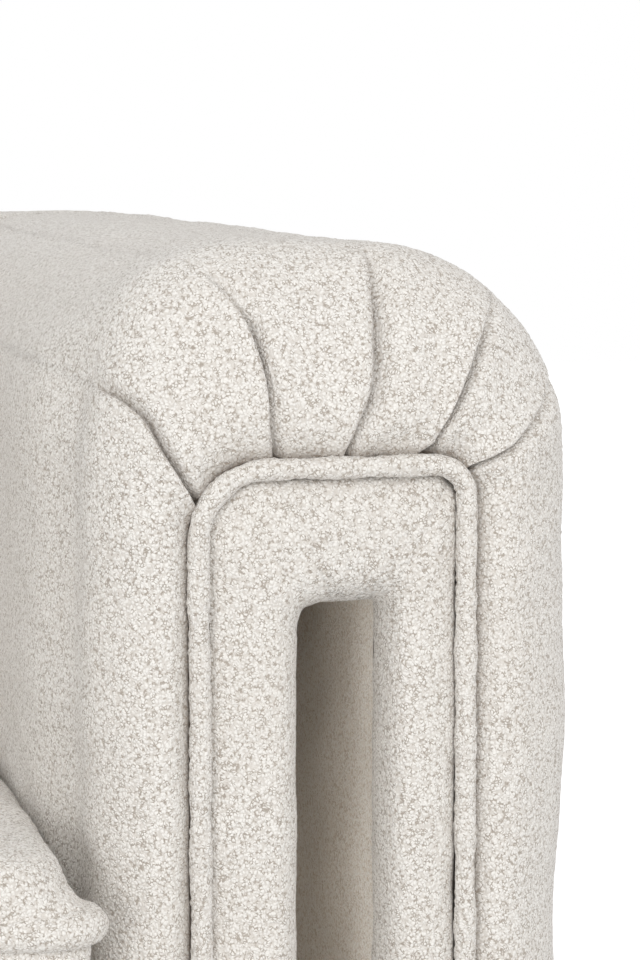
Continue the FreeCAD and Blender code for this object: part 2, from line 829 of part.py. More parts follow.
def slot_sleeve(name, side, label, half, margin, wall, start, end):
    """A box open to the front, made round the slot from an outline and a pocket."""
    body, sketch = body_with_sketch(f"{name}_{label}", "XZ_Plane")
    outer_half = f"({half} + {wall})"
    rise = f"slot_rise - {margin} - {wall}"
    height = f"slot_height + 2 * {margin} + 2 * {wall}"
    rectangle(sketch, "outside", f"2 * {outer_half}", height, rise)
    padded_back(body, sketch, f"{end} + {wall} - ({start})")
    hollow = sketch_on(body, f"{name}_{label}_hollow", "XZ_Plane")
    rectangle(hollow, "inside", f"2 * {half}", f"slot_height + 2 * {margin}", f"slot_rise - {margin}")
    pocketed(body, hollow, f"{end} - ({start})")
    place(body, f"{side} * slot_x", start, "foot_height")
    node(body, f"{name}_{label}")


def arm(name, side):
    arm_frame(name, side)
    slot_sleeve(name, side, "slot_lining", "slot_half", "0", "cloth",
                "frame_front", "roll_front + slot_depth")
    slot_sleeve(name, side, "slot_box", "box_half", "(cloth + soft_gap)", "slot_board",
                "frame_front + board", "roll_front + slot_depth + cloth + soft_gap")
    arm_softs(name, side)
    panel_pads(name, side)
    welt(name, side)


def seat_base():
    """Rails, blocks, springs, deck and covers between the arms."""
    inner_run = "rail_rear - rail_front - 2 * rail_thickness"
    behind = "rail_front + rail_thickness"
    node(box("front_rail", ("-base_half", "rail_front", "foot_height"),
             ("2 * base_half", "rail_thickness", "rail_height")), "front_rail")
    node(box("back_rail", ("-base_half", "rail_rear - rail_thickness", "foot_height"),
             ("2 * base_half", "rail_thickness", "rail_height")), "back_rail")
    for name, side in SIDES.items():
        low = "base_half - rail_thickness" if side > 0 else "-base_half"
        blank = box(f"{name}_side_rail_blank", (low, behind, "foot_height"),
                    ("rail_thickness", inner_run, "rail_height"))
        holes = [rod(f"{name}_side_rail_hole_{number}", "bolt_hole", "rail_thickness + 2",
                     (f"{low} - 1", y, z), ACROSS)
                 for number, (y, z) in enumerate(arm_bolt_places())]
        node(drilled(f"{name}_side_rail", blank, holes), f"{name}_side_rail")
    blank = box("centre_rail_blank", ("-rail_thickness / 2", behind, "foot_height"),
                ("rail_thickness", inner_run, "rail_height"))
    feet = ("front_centre_foot", "rear_centre_foot")
    node(drilled("centre_rail", blank, foot_bolt_holes("centre_rail", feet)), "centre_rail")
    corner_blocks()
    springs_and_clips()
    width = "2 * (base_half - soft_gap)"
    node(box("deck_padding", ("soft_gap - base_half", "rail_front", "deck_low"),
             (width, "rail_rear - rail_front - soft_gap", "deck_padding")), "deck_padding")
    border_start = "rail_front - soft_gap - border_padding"
    node(box("front_border_padding", ("soft_gap - base_half", border_start, "foot_height"),
             (width, "border_padding", "rail_height")), "front_border_padding")
    deck_cover()
    dust_cover()


def deck_cover():
    """One cloth down the seat base's front and back over the deck."""
    half = size("base_half - soft_gap")
    front = size("border_front")
    rear = size("rail_rear - soft_gap")
    cloth = size("cloth")
    low = size("foot_height")
    top = size("deck_top")
    whole = block((-half, front, low), (half, rear, top))
    edges = [item for item in whole.Edges
             if abs(item.BoundBox.YMax - front) < 1e-4 and abs(item.BoundBox.ZMin - top) < 1e-4]
    bend = size("cloth * 3")
    whole = whole.makeFillet(bend, edges)
    inside = block((-half - 1, front + cloth, low - 1), (half + 1, rear + 1, top - cloth))
    inner_edges = [item for item in inside.Edges
                   if abs(item.BoundBox.YMax - front - cloth) < 1e-4
                   and abs(item.BoundBox.ZMin - top + cloth) < 1e-4]
    inside = inside.makeFillet(bend - cloth, inner_edges)
    feature("seat_deck_cover", whole.cut(inside))


def dust_cover():
    """Thin cloth below the seat base, cut out round the feet on its centre line."""
    half = size("base_half - rail_thickness / 2")
    thick = size("dust_cloth")
    top = size("foot_height")
    sheet_shape = block((-half, size("rail_front"), top - thick), (half, size("rail_rear"), top))
    for foot in ("front_centre_foot", "rear_centre_foot"):
        x, y = foot_places()[foot]
        start = Vector(size(x), size(y), top - thick - 1)
        hole = Part.makeCylinder(size("foot_top_radius + 1"), thick + 2, start)
        sheet_shape = sheet_shape.cut(hole)
    feature("dust_cover", sheet_shape)


def back_frame():
    """Ribs, boards and webbing inside the back."""
    low = "foot_height"
    depth = "frame_rear - back_frame_front"
    node(box("back_top_board", ("-base_half", "back_frame_front", "frame_top - board"),
             ("2 * base_half", depth, "board")), "back_top_board")
    node(box("back_bottom_board", ("-base_half", "back_frame_front", low),
             ("2 * base_half", depth, "board")), "back_bottom_board")
    node(box("back_panel", ("-base_half", "frame_rear - back_board", "foot_height + board"),
             ("2 * base_half", "back_board", "frame_height - 2 * board")), "back_panel")
    front = size("back_frame_front + webbing")
    rear = size("frame_rear - back_board")
    bottom = size("foot_height + board")
    top = size("frame_top - board")
    half = size("base_half")
    thick = size("rib_board")
    inner = evenly(2 * half - 2 * thick, size("rib_spacing"))
    starts = [-half, half - thick] + [x - thick / 2 for x in inner if abs(x) < half - 2 * thick]
    ribs = [block((x, front, bottom), (x + thick, rear, top)) for x in starts]
    feature("back_ribs", Part.makeCompound(ribs))
    strap = size("webbing_width")
    clear = size("deck_top") + size("soft_gap")
    middle = (clear + top) / 2
    face = front - size("webbing")
    straps = [block((-half, face, middle + z - strap / 2), (half, front, middle + z + strap / 2))
              for z in evenly(top - clear, size("webbing_spacing"))]
    feature("back_webbing", Part.makeCompound(straps))


def feet():
    """Turned wooden feet with glides below and bolts above."""
    for name, (x, y) in foot_places().items():
        top = size("foot_top_radius")
        bottom = size("foot_bottom_radius")
        bore = size("bolt_hole")
        rise = size("foot_height - glide_height")
        depth = size("foot_bolt_length / 2")
        points = [(0, 0), (bottom, 0), (top, rise), (bore, rise), (bore, rise - depth), (0, rise - depth)]
        constraints = {
            "lines": [(0, "Horizontal"), (2, "Horizontal"), (3, "Vertical"),
                      (4, "Horizontal"), (5, "Vertical")],
            "sizes": {
                "bottom": ("DistanceX", 1, "foot_bottom_radius"),
                "top": ("DistanceX", 2, "foot_top_radius"),
                "rise": ("DistanceY", 2, "foot_height - glide_height"),
                "bore": ("DistanceX", 3, "bolt_hole"),
                "floor": ("DistanceY", 5, "foot_height - glide_height - foot_bolt_length / 2"),
            },
        }
        body = turned(name, points, constraints)
        place(body, x, y, "glide_height")
        node(body, name)
    glide = Part.makeCylinder(size("foot_bottom_radius - 3"), size("glide_height"))
    length = size("foot_bolt_length")
    start = Vector(0, 0, size("foot_height") - length / 2 + 1)
    bolt = Part.makeCylinder(size("bolt_radius"), length - 1, start)
    spots = [Vector(size(x), size(y), 0) for x, y in foot_places().values()]
    feature("foot_glides", Part.makeCompound([glide.translated(spot) for spot in spots]))
    feature("foot_bolts", Part.makeCompound([bolt.translated(spot) for spot in spots]))


def arm_fasteners():
    """Bolts from inside the seat base, through its side rails, into nuts inside the arms."""
    radius = size("bolt_radius")
    head = Part.makeCylinder(size("bolt_head_radius"), size("bolt_head_height"), Vector(), ACROSS)
    grip = size("rail_thickness + board")
    shank_length = size("bolt_head_height") + grip + size("nut_height + bolt_overrun")
    shank = Part.makeCylinder(radius, shank_length, Vector(), ACROSS)
    bolt = head.fuse(shank).removeSplitter()
    nut_start = size("bolt_head_height") + grip
    nut = Part.makeCylinder(size("nut_radius"), size("nut_height"), Vector(nut_start, 0, 0), ACROSS)
    bore = Part.makeCylinder(size("bolt_radius + thread_clearance"), size("nut_height") + 2,
                             Vector(nut_start - 1, 0, 0), ACROSS)
    nut = nut.cut(bore)
    bolts = []
    nuts = []
    for side in SIDES.values():
        flip = Rotation(Vector(0, 0, 1), 0 if side > 0 else 180)
        start = side * size("base_half - rail_thickness - bolt_head_height")
        for y, z in arm_bolt_places():
            at = Placement(Vector(start, size(y), size(z)), flip)
            bolts.append(bolt.transformed(at.toMatrix()))
            nuts.append(nut.transformed(at.toMatrix()))
    feature("arm_bolts", Part.makeCompound(bolts))
    feature("arm_bolt_nuts", Part.makeCompound(nuts))


for side_name, side_sign in SIDES.items():
    arm(side_name, side_sign)
seat_base()
back_frame()
back_softs()
for side_name, side_sign in SIDES.items():
    cushion(side_name, side_sign)
feet()
arm_fasteners()
doc.recompute()

# Every object and shape is checked before anything is written
for item in doc.Objects:
    if "Invalid" in item.State or "Error" in item.State:
        raise RuntimeError(f"{item.Label} did not build: {item.State}")
for piece in nodes:
    if piece.Shape.isNull() or not piece.Shape.isValid() or not piece.Shape.Solids:
        raise RuntimeError(f"{piece.Label} has no valid solid")

os.makedirs("parts", exist_ok=True)
for piece in nodes:
    piece.Shape.exportStep(f"parts/{piece.Label}.step")
    bounds = piece.Shape.BoundBox
    print(f"{piece.Label}: {len(piece.Shape.Solids)} solids, {piece.Shape.Volume / 1000:.0f} cm3, "
          f"x {bounds.XMin:.1f} {bounds.XMax:.1f}, y {bounds.YMin:.1f} {bounds.YMax:.1f}, "
          f"z {bounds.ZMin:.1f} {bounds.ZMax:.1f}")
print(f"{len(nodes)} nodes")
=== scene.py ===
import json
import math

import bpy
import numpy as np
from mathutils import Matrix, Vector


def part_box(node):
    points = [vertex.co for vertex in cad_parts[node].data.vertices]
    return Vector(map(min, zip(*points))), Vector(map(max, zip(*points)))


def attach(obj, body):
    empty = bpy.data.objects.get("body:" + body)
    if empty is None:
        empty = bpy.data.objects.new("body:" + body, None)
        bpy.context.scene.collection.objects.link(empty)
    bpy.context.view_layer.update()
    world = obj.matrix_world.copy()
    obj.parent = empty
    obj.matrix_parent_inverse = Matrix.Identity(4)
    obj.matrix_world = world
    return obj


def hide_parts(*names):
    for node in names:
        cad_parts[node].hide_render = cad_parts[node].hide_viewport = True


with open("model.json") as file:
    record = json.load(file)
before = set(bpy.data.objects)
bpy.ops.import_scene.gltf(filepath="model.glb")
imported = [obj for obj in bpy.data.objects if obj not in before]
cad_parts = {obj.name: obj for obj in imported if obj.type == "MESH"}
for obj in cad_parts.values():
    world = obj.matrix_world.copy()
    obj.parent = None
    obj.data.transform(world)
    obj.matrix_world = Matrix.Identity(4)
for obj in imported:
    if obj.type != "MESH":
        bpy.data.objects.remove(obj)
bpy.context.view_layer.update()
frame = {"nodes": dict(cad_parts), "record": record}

# Lengths are written in millimetres times MM, and places come from the frame, in metres
MM = 0.001
SIDES = {"left": -1, "right": 1}

cover_low, cover_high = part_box("right_arm_cover")
welt_low, welt_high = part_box("right_panel_welt")
lining_low, lining_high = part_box("right_slot_lining")
back_low, back_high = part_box("back_cover")
cushion_low, cushion_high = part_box("right_cushion_welts")
deck_low, deck_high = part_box("seat_deck_cover")
dust_low, dust_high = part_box("dust_cover")

ARM_X = (cover_low.x + cover_high.x) / 2
ARM_HALF = (cover_high.x - cover_low.x) / 2
TOP = cover_high.z
BOTTOM = cover_low.z
ROLL_FRONT = cover_low.y
BACK_Y = (back_low.y + back_high.y) / 2
PANEL_HALF = (welt_high.x - welt_low.x) / 2
PANEL_TOP = welt_high.z
CLOTH = 3 * MM
SLOT_X = (lining_low.x + lining_high.x) / 2
SLOT_HALF = (lining_high.x - lining_low.x) / 2 - CLOTH
SLOT_LOW = lining_low.z + CLOTH
SLOT_TOP = lining_high.z - CLOTH
SLOT_REAR = lining_high.y - CLOTH

SHOULDER = 104 * MM
REAR_CORNER = 70 * MM
ROLL_DEPTH = 61 * MM
ROLL_LENGTH = 96 * MM
INNER_PANEL_CORNER = 38 * MM
OUTER_PANEL_CORNER = 22 * MM
PILE = 0.16 * MM


# Helpers for numbers

def smooth(edge0, edge1, x):
    """Smoothly from 0 at edge0 to 1 at edge1."""
    t = np.clip((x - edge0) / (edge1 - edge0), 0, 1)
    return t * t * (3 - 2 * t)


def bell(x, width):
    """1 at 0, fading within about a width."""
    return np.exp(-(x / width) ** 2)


def uneven(points, wave, seed, count=7):
    """Gentle unevenness between about -1 and 1, with bumps about a wave long."""
    rng = np.random.default_rng(seed)
    total = np.zeros(points.shape[:-1])
    for _ in range(count):
        direction = rng.normal(size=3)
        direction /= np.linalg.norm(direction)
        length = wave * rng.uniform(0.7, 1.5)
        total += np.sin(points @ direction * (2 * math.pi / length) + rng.uniform(0, 2 * math.pi))
    return total / math.sqrt(count)


def smooth_path(x, knots, values):
    """Values along a curve that passes smoothly through the knots."""
    slopes = np.gradient(values, knots)
    x = np.clip(x, knots[0], knots[-1])
    index = np.clip(np.searchsorted(knots, x) - 1, 0, len(knots) - 2)
    span = knots[index + 1] - knots[index]
    t = (x - knots[index]) / span
    start, end = values[index], values[index + 1]
    return ((2 * t ** 3 - 3 * t ** 2 + 1) * start + (t ** 3 - 2 * t ** 2 + t) * span * slopes[index]
            + (3 * t ** 2 - 2 * t ** 3) * end + (t ** 3 - t ** 2) * span * slopes[index + 1])


def even_path(points, step):
    """Points a step apart along a chain of points."""
    lengths = np.concatenate([[0], np.cumsum(np.linalg.norm(np.diff(points, axis=0), axis=1))])
    count = max(int(lengths[-1] / step), 2)
    marks = np.linspace(0, lengths[-1], count + 1)
    return np.stack([np.interp(marks, lengths, points[:, k]) for k in range(points.shape[1])], 1)


def rounded_loop(corners, count):
    """A closed loop through rounded corners, (x, y, radius); sides and corners share out its points."""
    quarter = count // len(corners)
    turn_points = quarter // 5
    side_points = quarter - turn_points
    points = []
    for index in range(len(corners)):
        (ax, ay, last_radius), (bx, by, radius) = corners[index], corners[(index + 1) % len(corners)]
        a, b = np.array((ax, ay)), np.array((bx, by))
        ahead = (b - a) / np.linalg.norm(b - a)
        left = np.array((-ahead[1], ahead[0]))
        start, end = a + ahead * last_radius, b - ahead * radius
        for step in range(side_points):
            points.append(start + (end - start) * step / side_points)
        centre = end + left * radius
        for step in range(turn_points):
            turn = math.pi / 2 * step / turn_points
            points.append(centre - left * radius * math.cos(turn) + ahead * radius * math.sin(turn))
    return np.array(points)


def grid_normals(grid, close_rows=False, close_columns=False):
    """Unit normals of a grid of points, rows by columns."""
    def slope(axis, closed):
        if closed:
            return np.roll(grid, -1, axis) - np.roll(grid, 1, axis)
        return np.gradient(grid, axis=axis)
    normals = np.cross(slope(1, close_columns), slope(0, close_rows))
    return normals / np.maximum(np.linalg.norm(normals, axis=-1, keepdims=True), 1e-12)


# Helpers for meshes

def mesh_object(name, points, faces):
    mesh = bpy.data.meshes.new(name)
    mesh.from_pydata(points.tolist(), [], faces)
    mesh.polygons.foreach_set("use_smooth", [True] * len(mesh.polygons))
    mesh.update()
    piece = bpy.data.objects.new(name, mesh)
    bpy.context.scene.collection.objects.link(piece)
    return piece


def grid_faces(rows, columns, close_rows=False, close_columns=False, flip=False, start=0):
    """Quads of a grid; a closed direction joins its last line to its first."""
    i = np.arange(rows if close_rows else rows - 1)
    j = np.arange(columns if close_columns else columns - 1)
    a, b = np.meshgrid(i, j, indexing="ij")
    a2, b2 = (a + 1) % rows, (b + 1) % columns
    quads = np.stack([a * columns + b, a * columns + b2, a2 * columns + b2, a2 * columns + b], -1)
    quads = quads.reshape(-1, 4) + start
    if flip:
        quads = quads[:, ::-1]
    return quads.tolist()


def grid_piece(name, grid, side=1, painted_shade=None, **closed):
    """A piece made from a grid; its optional values from 0 to 1 say where shade is painted dark into its
    colour.
    """
    rows, columns = grid.shape[:2]
    faces = grid_faces(rows, columns, flip=side < 0, **closed)
    piece = mesh_object(name, grid.reshape(-1, 3), faces)
    if painted_shade is not None:
        values = piece.data.attributes.new("painted_shade", "FLOAT", "POINT")
        values.data.foreach_set("value", np.ascontiguousarray(painted_shade, dtype=np.float32).ravel())
    return piece


# The hood: an upright outline with a rounded top, from inner bottom over to outer bottom

TOP_FLAT = ARM_HALF - SHOULDER
SIDE_RUN = TOP - SHOULDER - BOTTOM
SHOULDER_ARC = SHOULDER * math.pi / 2
HALF_GIRTH = TOP_FLAT + SHOULDER_ARC + SIDE_RUN


def hood(along, half, top, inner_radius, outer_radius, low):
    """Points (offset, height) of a hood outline.

    along is the distance round the arm's full outline from the middle of its top, negative
    towards the inner side. Other outlines share it stretch by stretch: flat, corner and side.
    """
    outer = along > 0
    reach = np.abs(along)
    radius = np.where(outer, outer_radius, inner_radius)
    sign = np.where(outer, 1.0, -1.0)
    flat = np.clip(reach / TOP_FLAT, 0, 1)
    turn = np.clip((reach - TOP_FLAT) / SHOULDER_ARC, 0, 1) * math.pi / 2
    side = np.clip((reach - TOP_FLAT - SHOULDER_ARC) / SIDE_RUN, 0, 1)
    offset = sign * (flat * (half - radius) + radius * np.sin(turn))
    height = top - radius * (1 - np.cos(turn)) - side * (top - radius - low)
    return offset, height


# Pleats over the rolled front: each crease as (distance from the welt, place round the hood),
# with how deep it is at those points, on the right arm
PLEATS = [
    {"path": [(0, -149), (12, -143), (23, -140), (32, -136), (45, -139), (58, -144), (90, -150)],
     "depth": [(0, 0.9), (12, 0.9), (30, 0.75), (45, 0.65), (58, 0.45), (78, 0.0)]},
    {"path": [(0, -28), (12, -31), (26, -36), (42, -44), (52, -50), (63, -58), (90, -70)],
     "depth": [(0, 0.7), (12, 0.7), (22, 1.0), (42, 1.0), (50, 0.45), (72, 0.0)]},
    {"path": [(0, 2), (9, 5), (20, 10), (37, 14), (50, 17), (67, 22), (90, 26)],
     "depth": [(0, 0.8), (12, 1.0), (45, 1.0), (60, 0.6), (82, 0.0)]},
    {"path": [(0, 24), (4, 31), (12, 55), (18, 66), (27, 76), (42, 85), (56, 92), (90, 100)],
     "depth": [(0, 0.6), (12, 1.0), (42, 1.0), (55, 0.5), (78, 0.0)]},
    {"path": [(0, 118), (8, 136), (18, 149), (31, 153), (46, 153), (68, 151), (90, 150)],
     "depth": [(0, 0.7), (18, 0.8), (45, 0.75), (68, 0.5), (90, 0.0)]},
]
# The distance from the welt at which the grid's columns get their names
LABEL_DISTANCE = 32 * MM

# One knife pleat across: (distance from the crease, shift along, lift), the layer before the
# crease lying over the one after it
FOLD = np.array([
    (-30, 0.0, 0.0), (-18, 0.0, 0.8), (-10, 0.2, 1.9), (-4.5, 0.7, 2.7), (-2.2, 1.5, 2.8),
    (-1.0, 2.0, 2.1), (-0.2, 2.3, 0.4), (0.5, 1.7, -2.0), (1.2, 0.2, -4.8), (2.0, -1.2, -7.0),
    (3.0, -1.4, -7.4), (4.5, -0.6, -5.6), (7.0, 0.0, -2.4), (10.0, 0.0, 0.3), (14.0, 0.0, 1.9),
    (18.0, 0.0, 1.9), (23.0, 0.0, 1.2), (36.0, 0.0, 0.0),
]) * MM
FINE_STEP = 2.0 * MM
FAN_REACH = 260 * MM


def pleat_place(pleat, distance):
    """Where a crease lies round the hood at a distance from the welt."""
    path = np.array(pleat["path"]) * MM
    return smooth_path(distance, path[:, 0], path[:, 1])


PLEAT_CENTRES = np.array([pleat_place(pleat, LABEL_DISTANCE) for pleat in PLEATS])


def arm_columns():
    """Distances round the hood, closer together over the top and closest at the creases."""
    marks = [0.0]
    while marks[-1] < HALF_GIRTH:
        reach = marks[-1]
        marks.append(reach + min(FINE_STEP + max(reach - FAN_REACH, 0) * 0.03, 8 * MM))
    marks = np.array(marks[:-1])
    marks = np.concatenate([-marks[:0:-1], marks])
    fine = FOLD[(FOLD[:, 0] > -6 * MM) & (FOLD[:, 0] < 6 * MM), 0]
    fine = np.unique(np.concatenate([fine, (fine[1:] + fine[:-1]) / 2]))
    for centre in PLEAT_CENTRES:
        marks = marks[np.abs(marks - centre) > 6.5 * MM]
        marks = np.concatenate([marks, centre + fine])
    return np.concatenate([[-HALF_GIRTH], np.sort(marks), [HALF_GIRTH]])


def arm_rows():
    """Distances from the welt over the roll and along the arm to its rear corner."""
    rows = [0.0]
    length = ROLL_LENGTH + BACK_Y - ROLL_FRONT - ROLL_DEPTH
    while rows[-1] < length - 60 * MM:
        reach = rows[-1]
        rows.append(reach + min(max(FINE_STEP, (reach - 150 * MM) * 0.05), 9 * MM))
    tucked = [-14 * MM, -9 * MM, -5 * MM, -2 * MM]
    return np.array(tucked + rows)


def roll_profile(distance):
    """How far out of the panel's outline, from 0 to 1, and how far back, at a distance from the welt."""
    turn = np.clip(distance / ROLL_LENGTH, 0, 1) * math.pi / 2
    swell = np.sin(turn)
    back = ROLL_DEPTH * (1 - np.cos(turn)) + np.maximum(distance - ROLL_LENGTH, 0)
    back = back + 6 * MM * bell(distance, 6 * MM) - 3 * MM * bell(distance - 20 * MM, 16 * MM)
    tucked = np.minimum(distance, 0)
    return swell + tucked * 6, back - tucked * 0.9


def rear_corner(offset):
    """The radius in plan of the rear corner at an offset from the arm's middle line."""
    return np.maximum(REAR_CORNER - (ARM_HALF - offset), 5 * MM) * smooth(-0.02, 0.03, offset)


def sewn_down(lift, to_mitre):
    """A lift that fades towards the mitre, with the mitre's sunk seam and soft ridges beside it."""
    groove = -3.0 * MM * bell(to_mitre, 6 * MM) + 0.5 * MM * bell(to_mitre - 30 * MM, 25 * MM)
    return lift * smooth(2 * MM, 45 * MM, to_mitre) + groove


# A hem under the bottom: (how far in, how far down) in millimetres
HEM = ((1.5, -1.0), (6, -2.0), (26, -2.0))
# Steps of the rear corner's arc, from where it starts up to the mitre
ARC_STEPS = 12


def hemmed(grid, axis, share):
    """The grid with its first and last columns turned under, inward along an axis."""
    hems = []
    for column, inward in ((0, 1), (-1, -1)):
        strips = []
        for reach, fall in HEM:
            strip = grid[:, column].copy()
            strip[:, axis] += inward * reach * MM * share[:, column]
            strip[:, 2] = BOTTOM + fall * MM
            strips.append(strip)
        hems.append(np.stack(strips, 1))
    return np.concatenate([hems[0][:, ::-1], grid, hems[1]], 1)


def arm_places(rows, labels):
    """Where each column lies round the hood at each row, so that the columns follow the creases."""
    before, after = PLEAT_CENTRES[0] - 90 * MM, PLEAT_CENTRES[-1] + 120 * MM
    knots = np.concatenate([[-HALF_GIRTH, before], PLEAT_CENTRES, [after, HALF_GIRTH]])
    place = np.empty((len(rows), len(labels)))
    for index, reach in enumerate(rows):
        moved = [pleat_place(pleat, max(reach, 0.0)) for pleat in PLEATS]
        values = np.concatenate([[-HALF_GIRTH, before], moved, [after, HALF_GIRTH]])
        place[index] = np.interp(labels, knots, values)
    return place


def arm_shape(distance, place):
    """The arm's cover without relief, from the welt to the mitre at the rear corner."""
    swell, back = roll_profile(distance)
    full_x, full_z = hood(place, ARM_HALF, TOP, SHOULDER, SHOULDER, BOTTOM)
    panel_x, panel_z = hood(place, PANEL_HALF, PANEL_TOP, INNER_PANEL_CORNER, OUTER_PANEL_CORNER,
                            BOTTOM)
    x = panel_x + (full_x - panel_x) * swell
    z = panel_z + (full_z - panel_z) * swell

    # Each column runs straight to where its rear corner's arc starts
    radius = rear_corner(full_x[-1])
    stop = BACK_Y - ROLL_FRONT + full_x[-1] - radius
    scale = (stop - ROLL_DEPTH) / (back[-1] - ROLL_DEPTH)
    stretched = ROLL_DEPTH + (back - ROLL_DEPTH) * scale
    eased = back + (stretched - back) * smooth(250 * MM, 600 * MM, back)
    grid = np.stack([x, ROLL_FRONT + np.where(back > ROLL_DEPTH, eased, back), z], -1)
    arcs = []
    for step in range(1, ARC_STEPS + 1):
        turn = math.pi / 4 * step / ARC_STEPS
        arcs.append(np.stack([full_x[-1] - radius + radius * math.cos(turn),
                              ROLL_FRONT + stop + radius * math.sin(turn), full_z[-1]], -1))
    return np.concatenate([grid, np.array(arcs)], 0)


def arm_lift(grid, distance, place, seed):
    """How far the cover stands off its plain shape: the inner side's valley behind the roll, the
    outer side's belly, and gentle unevenness."""
    inner_side = smooth(-85 * MM, -175 * MM, place)
    outer_side = smooth(120 * MM, 240 * MM, place)
    height = grid[..., 2]
    drop = TOP - height
    lift = -14 * MM * bell(distance - 84 * MM, 30 * MM) * inner_side
    ridge = 3.0 * MM * bell(distance - 170 * MM, 50 * MM)
    lift += ridge * inner_side * smooth(420 * MM, 550 * MM, height)
    belly = 3.2 * MM * bell(drop - 245 * MM, 60 * MM) - 2 * MM * smooth(280 * MM, 360 * MM, drop)
    lift += belly * outer_side * smooth(10 * MM, 75 * MM, distance)
    waves = 1.1 * MM * uneven(grid, 160 * MM, seed) + 0.45 * MM * uneven(grid, 50 * MM, seed + 1)
    return lift + smooth(-2 * MM, 30 * MM, distance) * waves


def arm_surface(side, seed):
    """The arm's cover as a grid: rows from the welt to the rear corner's seam, columns round it."""
    labels = arm_columns()
    rows = arm_rows()
    distance = np.repeat(rows[:, None], len(labels), 1)
    place = arm_places(rows, labels)
    grid = arm_shape(distance, place)
    arc_rows = ((0, ARC_STEPS), (0, 0))
    distance = np.pad(distance, arc_rows, constant_values=rows[-1] + 60 * MM)
    place = np.pad(place, arc_rows, mode="edge")
    to_mitre = np.linalg.norm(grid - grid[-1:], axis=-1)
    lift = sewn_down(arm_lift(grid, distance, place, seed), to_mitre)
    shift = np.zeros_like(lift)

    # The pleats, with shade painted dark along each crease and beside the welt
    painted_shade = 0.8 * bell(distance, 2.5 * MM) + 0.8 * (distance < 0)
    for centre, pleat in zip(PLEAT_CENTRES, PLEATS):
        across = labels - centre
        knots = np.array(pleat["depth"])
        strength = np.interp(distance / MM, knots[:, 0], knots[:, 1])
        strength = strength * smooth(-14 * MM, 2 * MM, distance)
        lift += strength * np.interp(across, FOLD[:, 0], FOLD[:, 2])
        shift += strength * np.interp(across, FOLD[:, 0], FOLD[:, 1])
        painted_shade = np.maximum(painted_shade, strength * bell(across - 1.6 * MM, 1.9 * MM))

    rng = np.random.default_rng(seed + 2)
    lift += rng.normal(size=lift.shape) * PILE * smooth(0, 4 * MM, to_mitre)
    along = np.gradient(grid, labels, axis=1)
    grid = grid + grid_normals(grid) * lift[..., None] + along * shift[..., None]
    grid = hemmed(grid, 0, 0.3 + 0.7 * np.clip(distance / (30 * MM), 0, 1))
    painted_shade = np.pad(painted_shade, ((0, 0), (len(HEM), len(HEM))))
    grid[..., 0] = side * (ARM_X + grid[..., 0])
    return grid, painted_shade


# The panel's welt, pads and slot

PANEL_WELT = 5 * MM
PANEL_WELT_SIDES = 20


def tube(path, radii, closed=False):
    """A tube along a path that lies in a level or upright plane, as a grid of rings."""
    if closed:
        ahead = np.roll(path, -1, 0) - np.roll(path, 1, 0)
    else:
        ahead = np.gradient(path, axis=0)
    ahead /= np.linalg.norm(ahead, axis=1, keepdims=True)
    flat_axis = np.zeros(3)
    flat_axis[int(np.argmin(np.ptp(path, axis=0)))] = 1.0
    across = np.cross(ahead, np.repeat(flat_axis[None], len(path), 0))
    across /= np.linalg.norm(across, axis=1, keepdims=True)
    up = np.cross(across, ahead)
    turn = np.linspace(0, 2 * math.pi, radii.shape[1], endpoint=False)
    ring = across[:, None] * np.cos(turn)[None, :, None] + up[:, None] * np.sin(turn)[None, :, None]
    return path[:, None] + ring * radii[..., None]


def arm_welt(name, side, seed):
    """The fat cord round the front panel."""
    marks = np.linspace(-HALF_GIRTH, HALF_GIRTH, 1200)
    middle = PANEL_WELT + 0.3 * MM
    x, z = hood(marks, PANEL_HALF - middle, PANEL_TOP - middle, INNER_PANEL_CORNER - middle,
                OUTER_PANEL_CORNER - middle, BOTTOM)
    path = even_path(np.stack([x, np.full_like(x, ROLL_FRONT + 3 * MM), z], 1), 2.2 * MM)
    path[:, 0] += 0.5 * MM * uneven(path, 90 * MM, seed)
    rng = np.random.default_rng(seed)
    radii = PANEL_WELT * 1.06 + rng.normal(size=(len(path), PANEL_WELT_SIDES)) * 0.26 * MM
    radii += 0.3 * MM * uneven(path, 30 * MM, seed + 1)[:, None]
    grid = tube(path, radii)
    ends = np.repeat(grid.mean(1)[[0, -1], None], PANEL_WELT_SIDES, 1)
    grid = np.concatenate([ends[:1], grid, ends[1:]], 0)
    grid[..., 0] = side * (ARM_X + grid[..., 0])
    return grid_piece(f"{name}_front_welt", grid, -side, close_columns=True)


def slot_loop(grown, count):
    """The slot's outline, grown outward, as (x, z) from the arm's middle."""
    slot_x = SLOT_X - ARM_X
    half = SLOT_HALF + grown
    low, top = SLOT_LOW - grown, SLOT_TOP + grown
    return rounded_loop([(slot_x - half, low, 8 * MM), (slot_x + half, low, 8 * MM),
                         (slot_x + half, top, 7 * MM), (slot_x - half, top, 15 * MM)], count)


def panel_loop(count):
    """The panel's outline inside its welt, as (x, z) from the arm's middle."""
    half = PANEL_HALF - 8.5 * MM
    low, top = BOTTOM - 1.5 * MM, PANEL_TOP - 8.5 * MM
    return rounded_loop([(-half, low, 3 * MM), (half, low, 3 * MM),
                         (half, top, OUTER_PANEL_CORNER - 8 * MM),
                         (-half, top, INNER_PANEL_CORNER - 8 * MM)], count)


# Across a pad: (share of the way from the welt to the slot, depth in millimetres behind the
# roll's front); from its last share a pad rolls over into the slot
PAD_PROFILE = np.array([(-0.10, 17.0), (-0.04, 12.5), (0.0, 9.5), (0.03, 7.3), (0.07, 5.6), (0.12, 4.1),
                        (0.2, 2.2), (0.3, 0.7), (0.42, -0.4), (0.55, -0.9), (0.66, -0.8)])
PAD_ROLL = 26 * MM
PAD_ROLL_STEPS = 18


